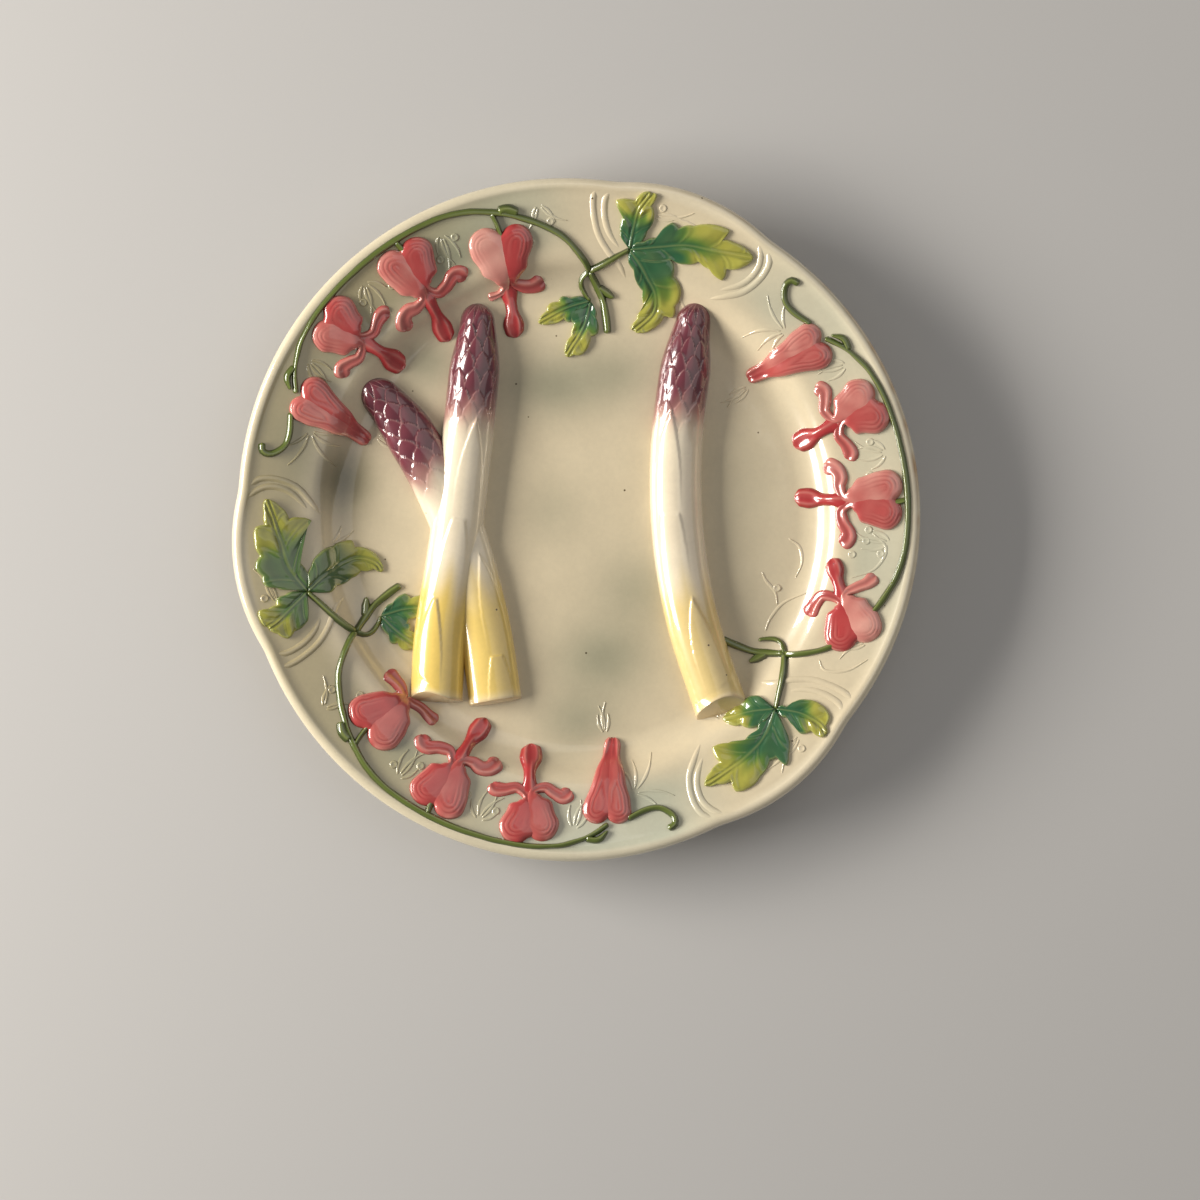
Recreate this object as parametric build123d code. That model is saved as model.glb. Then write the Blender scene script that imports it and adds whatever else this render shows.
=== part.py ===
"""Relief-moulded asparagus plate: a lobed earthenware plate with three asparagus spears in its well
and three garlands of heart-shaped flowers on its rim, each a third of a turn from the next.
The garlands follow one plan, but their leaves differ, and one flower lies across its stem.

Millimetres, +Z up. The origin is the centre of the foot ring, on the surface that the plate stands on.
Every relief is its own solid, shaped so that it sits face to face on the plate's upper surface.
"""

from build123d import *
from math import asin, cos, degrees, hypot, radians, sin, sqrt, tan
import os

# Plate
RIM_RADIUS = 120.0          # outer edge, at the middle of a long lobe
LOBE_RISE = 0.8             # a short lobe stands this much further out
NOTCH_DEPTH = 1.8           # the edge draws in this much between two lobes
NOTCH_BLEND = 14.0          # radius of the hollow curve in a notch
LIP_RADIUS = 2.5            # round bead along the edge
WALL = 4.6
FLOOR_RADIUS = 77.0         # flat floor of the well
FLOOR_HEIGHT = 10.0         # top of the floor above the table
COVE_RADIUS = 15.0          # hollow curve from the floor up into the side
COVE_ANGLE = 46.0           # steepest slope of the side
SHOULDER_RADIUS = 12.0      # round curve from the side out to the rim
RIM_SLOPE = 13.0            # slope of the broad rim
FOOT_RADIUS = 74.0          # outside of the foot ring
FOOT_WIDTH = 6.0
FOOT_ROUNDING = 1.2

# Layout round the rim
GARLANDS = ("top", "left", "right")
GARLAND_TURN = 360.0 / len(GARLANDS)
LEAF_FIELD_ANGLE = 69.1     # middle of the first short lobe, from +X
LEAF_FIELD_SPAN = 27.6      # a short lobe, from notch to notch

# Asparagus spears
SPEAR_HALF_WIDTH = 9.3
SPEAR_HEIGHT = 8.4
REAR_SPEAR_HEIGHT = 6.2     # the crossed spear lies lower
HEAD_HALF_WIDTH = 5.6       # at the round tip
HEAD_LENGTH = 26.0          # over which the tip grows to the stalk's width
HEAD_STATIONS = 4
SPEAR_STATION_STEP = 12.0
SCALE_THICKNESS = 0.8       # how far a scale's apex stands proud
SCALE_DEPTH = 2.4           # how deep a scale is let into the stalk
SCALE_ROWS = 6
SCALES_ACROSS = 4
SCALE_SPREAD = 38.0         # degrees round the stalk from one scale to the next
SCALE_PITCH = 5.4           # from one row of scales to the next
SCALE_GAP = 0.7             # bare line between neighbouring scales
SPEAR_CLEARANCE = 1.2       # bare ground left beside a spear
BRACT_LENGTH = 34.0
BRACT_WIDTH = 9.5

# Flowers
HEART_RADIUS = 6.0          # round top of each outer petal
HEART_HEIGHT = 3.2
BUD_RADIUS = 5.0
SPUR_HALF_WIDTH = 1.7
SPUR_HEIGHT = 1.9
INNER_PETAL_HALF_WIDTH = 3.1
INNER_PETAL_HEIGHT = 2.3
PETAL_EDGE = 0.45           # height of a petal's edge, as a share of its crown

# Leaves, stems and scrolls
LEAF_THICKNESS = 1.5
MIDRIB_HALF_WIDTH = 0.8
MIDRIB_HEIGHT = 2.2
LEAF_BULGE = 0.10           # swell of a leaf's edge between two points, as a share of its length
STEM_HALF_WIDTH = 1.15
STEM_HEIGHT = 1.5
SCROLL_HALF_WIDTH = 0.9
SCROLL_HEIGHT = 0.6

CAP_ANGLES = (40.0, 75.0)   # where the round tip of a spear gets its sections
LINE_STATIONS = 2           # places where a line's sides are drawn, from one of its points to the next
AXIS_SINK = 0.25            # share of its height by which a spear's axis lies under the surface


# The plate

COVE_END = FLOOR_RADIUS + COVE_RADIUS * sin(radians(COVE_ANGLE))
COVE_TOP = FLOOR_HEIGHT + COVE_RADIUS * (1 - cos(radians(COVE_ANGLE)))
SHOULDER_MIDDLE = COVE_END + SHOULDER_RADIUS * sin(radians(COVE_ANGLE))
SHOULDER_CENTRE = COVE_TOP - SHOULDER_RADIUS * cos(radians(COVE_ANGLE))
SHOULDER_END = SHOULDER_MIDDLE - SHOULDER_RADIUS * sin(radians(RIM_SLOPE))
RIM_REACH = RIM_RADIUS + LOBE_RISE


def surface_slope(radius):
    """Slope of the plate's upper surface, in degrees, at a distance from its axis."""
    if radius <= FLOOR_RADIUS:
        return 0.0
    if radius <= COVE_END:
        return degrees(asin((radius - FLOOR_RADIUS) / COVE_RADIUS))
    if radius <= SHOULDER_END:
        return degrees(asin((SHOULDER_MIDDLE - radius) / SHOULDER_RADIUS))
    return RIM_SLOPE


def surface_height(radius):
    """Height of the plate's upper surface at a distance from its axis."""
    slope = radians(surface_slope(radius))
    if radius <= COVE_END:
        return FLOOR_HEIGHT + COVE_RADIUS * (1 - cos(slope))
    shoulder_height = SHOULDER_CENTRE + SHOULDER_RADIUS * cos(slope)
    return shoulder_height + max(0, radius - SHOULDER_END) * tan(slope)


def side_arc(centre_radius, centre_height, radius, *slopes):
    """An arc of the plate's side, through the points where it has these slopes."""
    return ThreePointArc(*[(centre_radius + radius * sin(radians(slope)), 0,
                            centre_height - radius * cos(radians(slope))) for slope in slopes])


def profile(depth):
    """The plate's upper profile, from the axis to past the edge, moved this far down into the wall."""
    cove = side_arc(FLOOR_RADIUS, FLOOR_HEIGHT + COVE_RADIUS, COVE_RADIUS + depth,
                    0, COVE_ANGLE / 2, COVE_ANGLE)
    shoulder = side_arc(SHOULDER_MIDDLE, SHOULDER_CENTRE, depth - SHOULDER_RADIUS,
                        COVE_ANGLE, (COVE_ANGLE + RIM_SLOPE) / 2, RIM_SLOPE)
    edge_height = surface_height(RIM_REACH) - depth / cos(radians(RIM_SLOPE))
    return [Line((0, 0, FLOOR_HEIGHT - depth), cove @ 0), cove, shoulder,
            Line(shoulder @ 1, (RIM_REACH, 0, edge_height))]


def turned(upper, lower):
    """The solid of revolution between two profiles."""
    axis_line = Line(upper[0] @ 0, lower[0] @ 0)
    edge_line = Line(upper[-1] @ 1, lower[-1] @ 1)
    return revolve(make_face([*upper, *lower, axis_line, edge_line]), Axis.Z).solid()


def polar(radius, angle):
    return Vector(radius * cos(radians(angle)), radius * sin(radians(angle)))


def rim_plan(inset=0.0):
    """Plan of the edge, or of a line this far inside it. Long and short lobes meet in six notches."""
    notch = RIM_RADIUS - NOTCH_DEPTH - inset
    arcs = []
    for turn in range(len(GARLANDS)):
        first = LEAF_FIELD_ANGLE - LEAF_FIELD_SPAN / 2 + turn * GARLAND_TURN
        for start, end, reach in ((first, first + LEAF_FIELD_SPAN, RIM_REACH - inset),
                                  (first + LEAF_FIELD_SPAN, first + GARLAND_TURN, RIM_RADIUS - inset)):
            middle = polar(reach, (start + end) / 2)
            arcs.append(ThreePointArc(polar(notch, start), middle, polar(notch, end)))
    corners = make_face(arcs)
    return fillet(corners.vertices(), NOTCH_BLEND + inset).face()


def plate_body():
    """The turned wall cut to its lobes, with the bead along the edge and the foot ring underneath."""
    plan = rim_plan(LIP_RADIUS)
    lobes = extrude(plan, surface_height(RIM_REACH) + WALL)
    underside_height = surface_height(RIM_RADIUS - LIP_RADIUS) - WALL / cos(radians(RIM_SLOPE))
    path = Pos(0, 0, underside_height + LIP_RADIUS) * plan.outer_wire()
    bead = sweep(Plane(path @ 0, z_dir=path % 0) * Circle(LIP_RADIUS), path=path)
    ring = Circle(FOOT_RADIUS) - Circle(FOOT_RADIUS - FOOT_WIDTH)
    foot = extrude(ring, FLOOR_HEIGHT - WALL / 2)
    foot = fillet(foot.edges().group_by(Axis.Z)[0], FOOT_ROUNDING)
    return (turned(profile(0), profile(WALL)) & lobes) + bead + foot


UNDERSIDE = turned(profile(0), [Line((0, 0, -FLOOR_HEIGHT), (RIM_REACH, 0, -FLOOR_HEIGHT))])
CEILING = surface_height(RIM_REACH) + SPEAR_HEIGHT    # higher than every relief
FIELD = rim_plan(2 * LIP_RADIUS)    # the ground inside the bead


# Reliefs as plans raised from the surface

def placed(points, angle, inset, heading=0.0):
    """Plan positions of points given as (forward, left) from a seat this far inside the edge.
    The heading is measured anticlockwise from straight inwards."""
    base = polar(RIM_RADIUS - inset, angle)
    way = polar(1, angle + 180 + heading)
    across = Vector(-way.Y, way.X)
    return [base + way * forward + across * left for forward, left in points]


def along_rim(points):
    """Plan positions of points given as (angle, inset from the edge)."""
    return [polar(RIM_RADIUS - inset, angle) for angle, inset in points]


def side_points(curve, distance, reach):
    """The two points at a reach to the left and right of a curve."""
    point = curve.position_at(distance, position_mode=PositionMode.LENGTH)
    way = curve.tangent_at(distance, position_mode=PositionMode.LENGTH)
    across = Vector(-way.Y, way.X) * reach
    return point + across, point - across


def line_plan(points, half_width):
    """Plan of a strip with round ends along a smooth curve."""
    curve = Spline(*points)
    steps = LINE_STATIONS * (len(points) - 1)
    distances = [curve.length * step / steps for step in range(steps + 1)]
    left, right = zip(*[side_points(curve, distance, half_width) for distance in distances])
    start = ThreePointArc(left[0], curve @ 0 - (curve % 0) * half_width, right[0])
    end = ThreePointArc(left[-1], curve @ 1 + (curve % 1) * half_width, right[-1])
    return make_face([start, Spline(*left), end, Spline(*right)])


def petal_plan(start, start_radius, end, end_radius):
    """Plan of a petal: the hull of a round end and a round neck."""
    circles = [Pos(start) * Circle(start_radius), Pos(end) * Circle(end_radius)]
    return make_hull([edge for circle in circles for edge in circle.edges()])


def above_surface(point, height):
    """The point at a height over the plate, square to its surface."""
    radius = hypot(point.X, point.Y)
    slope = radians(surface_slope(radius))
    inward = Vector(-point.X, -point.Y).normalized() * (height * sin(slope))
    return Vector(point.X, point.Y, surface_height(radius) + height * cos(slope)) + inward


def capsule(start, end, radius):
    """A cylinder with half a sphere on each end."""
    length = (end - start).length
    bulge = radius / sqrt(2)
    foot = ThreePointArc((0, 0, -radius), (bulge, 0, -bulge), (radius, 0, 0))
    top = ThreePointArc((radius, 0, length), (bulge, 0, length + bulge), (0, 0, length + radius))
    outline = [foot, Line(foot @ 1, top @ 0), top, Line(top @ 1, foot @ 0)]
    return Plane(start, z_dir=end - start) * revolve(make_face(outline), Axis.Z)


def domed(plan, start, end, half_width, height):
    """A plan raised, inside the bead, to a crown from start to end that falls to a low edge on both sides."""
    crown = height * (1 - PETAL_EDGE)
    radius = (half_width**2 + crown**2) / (2 * crown)
    form = capsule(above_surface(start, height - radius), above_surface(end, height - radius), radius)
    return (extrude(plan & FIELD, CEILING) & form) - UNDERSIDE


def raised(plan, height):
    """A plan raised from the surface, inside the bead, to an even height."""
    return turned(profile(-height), profile(0)) & extrude(plan & FIELD, CEILING)


# Flowers

FLOWERS = {
    "flower_1": dict(seat=dict(angle=106.6, inset=36.0, heading=-7.6), length=14.0, petal=16.4,
                     spurs=(((-0.7, 5.2), (0.1, 10.1), (-2.9, 13.6)),
                            ((0.2, -2.0), (1.7, -5.3), (1.9, -7.4)))),
    "flower_2": dict(seat=dict(angle=123.9, inset=24.9, heading=-7.3), length=12.2, petal=17.0,
                     spurs=(((1.8, 4.7), (-0.5, 10.5), (2.5, 15.0)),
                            ((3.1, -2.7), (3.1, -7.2), (8.9, -12.3)))),
    "flower_3": dict(seat=dict(angle=140.4, inset=22.7, heading=8.6), length=11.2, petal=15.0,
                     spurs=(((1.2, 5.5), (0.2, 9.4), (2.6, 13.2)),
                            ((1.6, -3.7), (-0.1, -7.6), (0.7, -14.7)))),
}
CROSSING_FLOWER = dict(seat=dict(angle=103.6, inset=23.1, heading=-58.6), length=12.0, petal=14.2,
                       spurs=(((2.2, 5.8), (0.4, 9.5), (-3.4, 13.3)),
                              ((2.0, -5.5), (2.6, -9.7), (4.5, -13.0))))
BUD_SEAT = dict(angle=157.3, inset=33.3, heading=-11.3)
BUD_LENGTH = 14.0
BUD_TAIL = 9.5
BUD_TAIL_HALF_WIDTH = 2.7
HEART_SPREAD = 0.75         # how far apart the two round tops lie, as a share of their radius
NECK_SHARE = 0.28           # radius of a petal at the neck, as a share of its round top


def heart(seat, length, radius):
    """Two outer petals side by side, as plans and domed solids."""
    plans = []
    solids = []
    for side in (1, -1):
        neck = NECK_SHARE * radius
        top, foot = placed([(-length, side * HEART_SPREAD * radius), (0, side * neck / 2)], **seat)
        plans.append(petal_plan(top, radius, foot, neck))
        solids.append(domed(plans[-1], top, foot, radius, HEART_HEIGHT))
    return plans, solids


def flower(seat, length, petal, spurs):
    """Two outer petals that make a heart, a curved spur on each side and the inner petal between them."""
    plans, solids = heart(seat, length, HEART_RADIUS)
    neck, bulb = placed([(0, 0), (petal - INNER_PETAL_HALF_WIDTH, 0)], **seat)
    plans.append(petal_plan(bulb, INNER_PETAL_HALF_WIDTH, neck, NECK_SHARE * HEART_RADIUS))
    solids.append(domed(plans[-1], bulb, neck, INNER_PETAL_HALF_WIDTH, INNER_PETAL_HEIGHT))
    for spur in spurs:
        plans.append(line_plan(placed([(0, 0), *spur], **seat), SPUR_HALF_WIDTH))
        solids.append(raised(plans[-1], SPUR_HEIGHT))
    return plans, solids


def bud():
    """A closed heart with one blunt petal coming out of it."""
    plans, solids = heart(BUD_SEAT, BUD_LENGTH, BUD_RADIUS)
    neck, tip = placed([(0, 0), (BUD_TAIL - BUD_TAIL_HALF_WIDTH, 0)], **BUD_SEAT)
    plans.append(petal_plan(tip, BUD_TAIL_HALF_WIDTH, neck, BUD_TAIL_HALF_WIDTH))
    solids.append(domed(plans[-1], tip, neck, BUD_TAIL_HALF_WIDTH, INNER_PETAL_HEIGHT))
    return plans, solids


# Leaves

LEAVES = {
    "top": dict(
        seat=dict(angle=78.9, inset=24.2),
        leaflets=(
            dict(heading=97.1, midrib=((3, 0.6), (20, 3.0), (40, 0.5)),
                 outline=((0, 1.4), (9.2, 4.7), (14.3, 10.3), (16.9, 8.5), (34.5, 8.9), (32.2, 5.3),
                          (43.6, 0), (34.4, -4.6), (33.2, -8.7), (24.7, -2.6), (0, -1.4))),
            dict(heading=21.1, midrib=((3, 1.5), (13, 6.5), (23, 9.5)),
                 outline=((0, 1.4), (6.5, 14.1), (17.5, 15.5), (25.8, 11.2), (24.5, 8.4), (29, -1.6),
                          (27.2, -4.3), (24.1, -1.7), (14.6, 2.3), (0, -1.4))),
            dict(heading=-176.4, midrib=((3, 0), (10, -1.0), (17, -3.5)),
                 outline=((0, 1.4), (5.5, 4), (11.1, 3.7), (16.2, 6.9), (16.8, 0.2), (20.2, -2.4),
                          (20.1, -7.2), (15.9, -5.8), (7.3, -5.6), (0, -1.4))))),
    "left": dict(
        seat=dict(angle=75.2, inset=22.6),
        leaflets=(
            dict(heading=98.9, midrib=((3, 0.8), (15, 2.2), (29, 0.2)),
                 outline=((0, 1.4), (5.5, 9.1), (7.6, 12.4), (15.1, 13), (18, 9.7), (27.8, 7.1), (27.2, 3.8),
                          (35.6, 0), (25.9, -4.6), (21.9, -11.6), (10.6, -1.9), (0, -1.4))),
            dict(heading=-0.6, midrib=((3, 1.5), (13, 6.5), (24, 5)),
                 outline=((0, 1.4), (3.6, 8.4), (7.3, 12.1), (19.4, 13.6), (19.4, 11.2), (24.5, 8.8),
                          (27.1, 0), (19.6, 2.4), (9.6, -0.5), (7.7, -2.3), (0, -1.4))),
            dict(heading=-142.4, midrib=((3, -0.7), (8, -1.1), (14, -1.6)),
                 outline=((0, 1.4), (5.4, 5.3), (9.1, 6.4), (13.7, 4.9), (16.9, 4.8), (18.3, -2.4),
                          (17.7, -6.9), (15.5, -9.3), (10.2, -5.6), (8.1, -6.9), (0, -1.4))))),
    "right": dict(
        seat=dict(angle=76.3, inset=23.8),
        leaflets=(
            dict(heading=90.7, midrib=((3, 1.4), (14, 4.2), (32, 1.4)),
                 outline=((0, 1.4), (8.6, 14.2), (12, 16.2), (12, 11.9), (20.9, 12), (27, 11.7), (30.6, 9.3),
                          (28.9, 5.8), (36.7, 0), (27, -1.5), (25, -7), (15.6, -0.5), (0, -1.4))),
            dict(heading=56.1, midrib=((3, 0), (8, -0.6), (15, 0)),
                 outline=((0, 1.4), (6, 3.9), (9.3, 4.9), (12.9, 3), (18.7, 0), (14.2, -2.8), (9.1, -5.4),
                          (3.1, -4.5), (0, -1.4))),
            dict(heading=-156.6, midrib=((3, 0.5), (9, 1.6), (16, 0.3)),
                 outline=((0, 1.4), (3.5, 2), (9.2, 6.9), (13.9, 7), (18.5, 4.2), (18.4, 0.7), (19.9, -2.1),
                          (18.2, -3.8), (14.2, -2.9), (11.4, -5.1), (4.8, -1.5), (0, -1.4))))),
}
SMALL_LEAF_SEAT = dict(angle=86.3, inset=43.3)
SMALL_LEAF = (
    dict(heading=-64.3, midrib=((2, -0.5), (9, -1.2), (17, -0.6)),
         outline=((0, 1.2), (7.3, 1.0), (10, 3.5), (20.1, 0.5), (13.8, -4.5), (8.1, -5.2), (0, -1.2))),
    dict(heading=-16.3, midrib=((2, 0.2), (10, 0.8), (18, 0.5)),
         outline=((0, 1.2), (4.5, 3.8), (8.8, 6.4), (11.8, 4.3), (19.2, 2.7), (21.5, -0.7), (20.8, -3.1),
                  (13, -2.2), (8.2, -5), (0, -1.2))),
)


def leaflet_plan(seat, heading, outline):
    """Plan of a leaflet, its edge swelling between the points of its lobes."""
    corners = placed(outline, heading=heading, **seat)
    return make_face([SagittaArc(start, end, LEAF_BULGE * (end - start).length)
                      for start, end in zip(corners, corners[1:] + corners[:1])])


def leaf(seat, leaflets):
    """Leaflets of even thickness that follow the plate's curve, each with a raised midrib."""
    plans = [leaflet_plan(seat, part["heading"], part["outline"]) for part in leaflets]
    solids = [raised(plan, LEAF_THICKNESS) for plan in plans]
    for part in leaflets:
        midrib = line_plan(placed(part["midrib"], heading=part["heading"], **seat), MIDRIB_HALF_WIDTH)
        solids.append(raised(midrib, MIDRIB_HEIGHT))
    return plans, solids


# Stems, twigs, tendrils and scrolls

STEM = ((87, 32.9), (88.7, 29), (91.8, 23), (95.6, 18), (99.8, 14), (104.3, 10.4), (110, 7.4), (116, 6.4),
        (124, 6.2), (132, 6.2), (140, 6.3), (146, 6.9), (150, 8.3), (153, 10), (156, 13))
LEAF_STALK = ((87, 32.9), (83.6, 30))    # ends at the leaf's seat
FLOWER_1_STALK = ((105.6, 10), (104.7, 14), (104.7, 20))
FLOWER_2_STALK = ((123.2, 6.4), (122.9, 9), (122.8, 12))
TENDRIL = ((159.6, 13.8), (163.3, 15.6), (166.2, 15), (168, 11.6), (167.9, 8.4), (166.4, 7.4))
SPRIG_SEAT = dict(angle=90, inset=33)
TWIG = ((0, 4.5), (5, 7), (11, 9.5), (17, 10.5), (22, 10.8))
TWIG_LEAF = ((5.5, 7.5), (8, 11), (9.5, 13.2))
LOOP = ((0, 4.5), (2.5, 2), (5.5, 1.7), (9, 3.5), (10.5, 5))
SCROLLS = (
    ((55.4, 5), (53.3, 9), (52.7, 14.4), (54.1, 21.2), (58.4, 28.4), (60, 31.5)),
    ((56.2, 6), (54.8, 12), (55.2, 18), (58.6, 24.5)),
    ((87, 5), (86.8, 12.8), (84.8, 20.6), (81.4, 26.9), (76.8, 32.7), (74.2, 39)),
    ((84.2, 5), (84.6, 11.6), (83.2, 17.4), (80, 22.7)),
)


def stem_plans(leaf_seat, flower_stalks):
    """The stem along the edge, with the leaf's stalk and the stalks of flowers."""
    leaf_stalk = (*LEAF_STALK, (leaf_seat["angle"], leaf_seat["inset"]))
    return [line_plan(along_rim(line), STEM_HALF_WIDTH) for line in (STEM, leaf_stalk, *flower_stalks)]


def twig_plans():
    """The bare end of the stem with its side leaf, and the loop beside it."""
    return [line_plan(placed(line, **SPRIG_SEAT), STEM_HALF_WIDTH) for line in (TWIG, TWIG_LEAF, LOOP)]


def tendril_plans():
    return [line_plan(along_rim(TENDRIL), STEM_HALF_WIDTH)]


def scroll_plans():
    """The double lines that frame the leaf."""
    return [line_plan(along_rim(line), SCROLL_HALF_WIDTH) for line in SCROLLS]


def garland(side):
    """One garland. Each piece is cut, in plan, to fit those that lie over it.
    In the right one, a flower crosses the stem and there is no small leaf."""
    flowers = dict(FLOWERS)
    flower_stalks = [FLOWER_2_STALK]
    if side == "right":
        flowers["flower_1"] = CROSSING_FLOWER
    else:
        flower_stalks.append(FLOWER_1_STALK)
    pieces = {name: flower(**sizes) for name, sizes in flowers.items()}
    pieces["bud"] = bud()
    pieces["leaf"] = leaf(**LEAVES[side])
    if side != "right":
        pieces["small_leaf"] = leaf(SMALL_LEAF_SEAT, SMALL_LEAF)
    nodes = {name: solids[0].fuse(*solids[1:]) for name, (_, solids) in pieces.items()}
    over = [plan for plans, _ in pieces.values() for plan in plans]
    for name, plans, height in (("stem", stem_plans(LEAVES[side]["seat"], flower_stalks), STEM_HEIGHT),
                                ("twig", twig_plans(), STEM_HEIGHT),
                                ("tendril", tendril_plans(), STEM_HEIGHT),
                                ("scroll", scroll_plans(), SCROLL_HEIGHT)):
        plan = plans[0].fuse(*plans[1:]) if len(plans) > 1 else plans[0]
        nodes[name] = raised(plan - over, height)
        over += plans
    return nodes


# Asparagus

SPEARS = {
    "front": dict(line=((-34.5, 75), (-35.3, 58), (-38.2, 30), (-43, -10), (-47.8, -40), (-49, -62)),
                  height=SPEAR_HEIGHT, bracts=((69, 4), (103, -22))),
    "right": dict(line=((42, 75.5), (38.5, 55), (35, 25), (35.5, -5), (40.5, -35), (51.5, -68)),
                  height=SPEAR_HEIGHT, bracts=((62, -16), (104, 9))),
    "rear": dict(line=((-73, 48), (-58, 29), (-43, 0), (-33, -35), (-28.5, -63)),
                 height=REAR_SPEAR_HEIGHT, bracts=((71, 30),)),
}


def spear_size(distance, height):
    """Half-width and height of a spear at a distance from its tip, past the round end."""
    growth = sin(radians(90 * min(1, max(0, distance - HEAD_HALF_WIDTH) / HEAD_LENGTH)))
    half_width = HEAD_HALF_WIDTH + (SPEAR_HALF_WIDTH - HEAD_HALF_WIDTH) * growth
    return half_width, height * half_width / SPEAR_HALF_WIDTH


def spear_stations(length):
    """Where a spear is measured: closely along the head, then in even steps to the cut end."""
    head_end = HEAD_HALF_WIDTH + HEAD_LENGTH
    head = [HEAD_HALF_WIDTH + HEAD_LENGTH * step / HEAD_STATIONS for step in range(HEAD_STATIONS)]
    steps = round((length - head_end) / SPEAR_STATION_STEP)
    return head + [head_end + (length - head_end) * step / steps for step in range(steps + 1)]


def oval(point, way, half_width, rise, sink):
    """One upright section of a spear, its centre under the surface and its seam at the bottom."""
    centre = Vector(point.X, point.Y, surface_height(hypot(point.X, point.Y)) - sink)
    return Wire.make_ellipse(rise, half_width, Plane(centre, x_dir=(0, 0, -1), z_dir=way))


def spear_core(line, height):
    """A spear lofted from its round tip to its cut end, with its lower part under the surface."""
    spine = Spline(*line)
    tip_width, tip_height = spear_size(0, height)
    sink = AXIS_SINK * tip_height
    start, way = spine @ 0, spine % 0
    sections = [Vertex(start.X, start.Y, surface_height(hypot(start.X, start.Y)) - sink)]
    for turn in CAP_ANGLES:
        share = sin(radians(turn))
        point = start + way * tip_width * (1 - cos(radians(turn)))
        sections.append(oval(point, way, tip_width * share, (tip_height + sink) * share, sink))
    for distance in spear_stations(spine.length):
        half_width, rise = spear_size(distance, height)
        point = spine.position_at(distance, position_mode=PositionMode.LENGTH)
        way = spine.tangent_at(distance, position_mode=PositionMode.LENGTH)
        sections.append(oval(point, way, half_width, rise + AXIS_SINK * rise, AXIS_SINK * rise))
    return Solid.make_loft(sections)


def scale(line, height, apex, turn, length, width):
    """A pointed plate on the spear, its apex at a distance from the tip and turned round the stalk.
    It is let into the stalk at its root and stands proud at its apex."""
    spine = Spline(*line)
    middle = apex + length / 2
    point = spine.position_at(middle, position_mode=PositionMode.LENGTH)
    way = spine.tangent_at(middle, position_mode=PositionMode.LENGTH)
    half_width, rise = spear_size(middle, height)
    left = Vector(-way.Y, way.X)
    ground = Vector(point.X, point.Y, surface_height(hypot(point.X, point.Y)))
    centre = ground + left * (half_width * sin(radians(turn))) + Vector(0, 0, rise * cos(radians(turn)))
    normal = left * (sin(radians(turn)) / half_width) + Vector(0, 0, cos(radians(turn)) / rise)
    lift = SCALE_THICKNESS / (length / 2)
    seat = Plane(centre, x_dir=-way + normal.normalized() * lift, z_dir=normal.normalized() + way * lift)
    tip, root, side = (length / 2, 0), (-length / 2, 0), width / 2
    outline = [ThreePointArc(root, (0, side), tip), ThreePointArc(tip, (0, -side), root)]
    return extrude(seat * make_face(outline), -SCALE_DEPTH)


def head_scales(line, height):
    """Rows of scales on a spear's head, each row shifted by half a scale."""
    for row in range(SCALE_ROWS):
        apex = row * SCALE_PITCH
        half_width, rise = spear_size(apex + SCALE_PITCH, height)
        width = radians(SCALE_SPREAD) * (half_width + rise) / 2 - SCALE_GAP
        count = SCALES_ACROSS - row % 2
        for place in range(count):
            turn = (place - (count - 1) / 2) * SCALE_SPREAD
            yield scale(line, height, apex, turn, 2 * (SCALE_PITCH - SCALE_GAP), width)


def spear(line, height, bracts):
    """A spear with the scales of its head and the long bracts of its stalk."""
    plates = list(head_scales(line, height))
    plates += [scale(line, height, apex, turn, BRACT_LENGTH, BRACT_WIDTH) for apex, turn in bracts]
    return spear_core(line, height).fuse(*plates) - UNDERSIDE


def spear_plan(line, height):
    """The ground that a spear covers, with a little clear space round it."""
    spine = Spline(*line)
    left, right = zip(*[side_points(spine, distance, spear_size(distance, height)[0] + SPEAR_CLEARANCE)
                        for distance in spear_stations(spine.length)])
    tip = spine @ 0 - (spine % 0) * SPEAR_CLEARANCE
    base = Line(left[-1], right[-1])
    return make_face([ThreePointArc(left[0], tip, right[0]), Spline(*left), base, Spline(*right)])


# The whole plate

def build():
    nodes = {"plate_body": plate_body()}
    nodes.update({f"spear_{name}": spear(**sizes) for name, sizes in SPEARS.items()})
    nodes["spear_rear"] -= nodes["spear_front"]
    covers = [extrude(spear_plan(sizes["line"], sizes["height"]), CEILING) for sizes in SPEARS.values()]
    for turn, side in enumerate(GARLANDS):
        for name, shape in garland(side).items():
            piece = Rot(0, 0, turn * GARLAND_TURN) * shape
            for cover in covers:
                if piece.bounding_box().overlaps(cover.bounding_box()):
                    piece -= cover
            nodes[f"{name}_{side}"] = piece
    return nodes


os.makedirs("parts", exist_ok=True)
for node, shape in build().items():
    export_step(shape, f"parts/{node}.step")
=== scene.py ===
"""The asparagus plate: every raised motif modelled closely and glazed, on a pale floor in window light."""

from bisect import bisect_right
from math import acos, asin, atan2, cos, degrees, exp, floor, hypot, log, pi, radians, sin, sqrt, tan

import bmesh
import bpy
from mathutils import Matrix, Vector, noise


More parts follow.
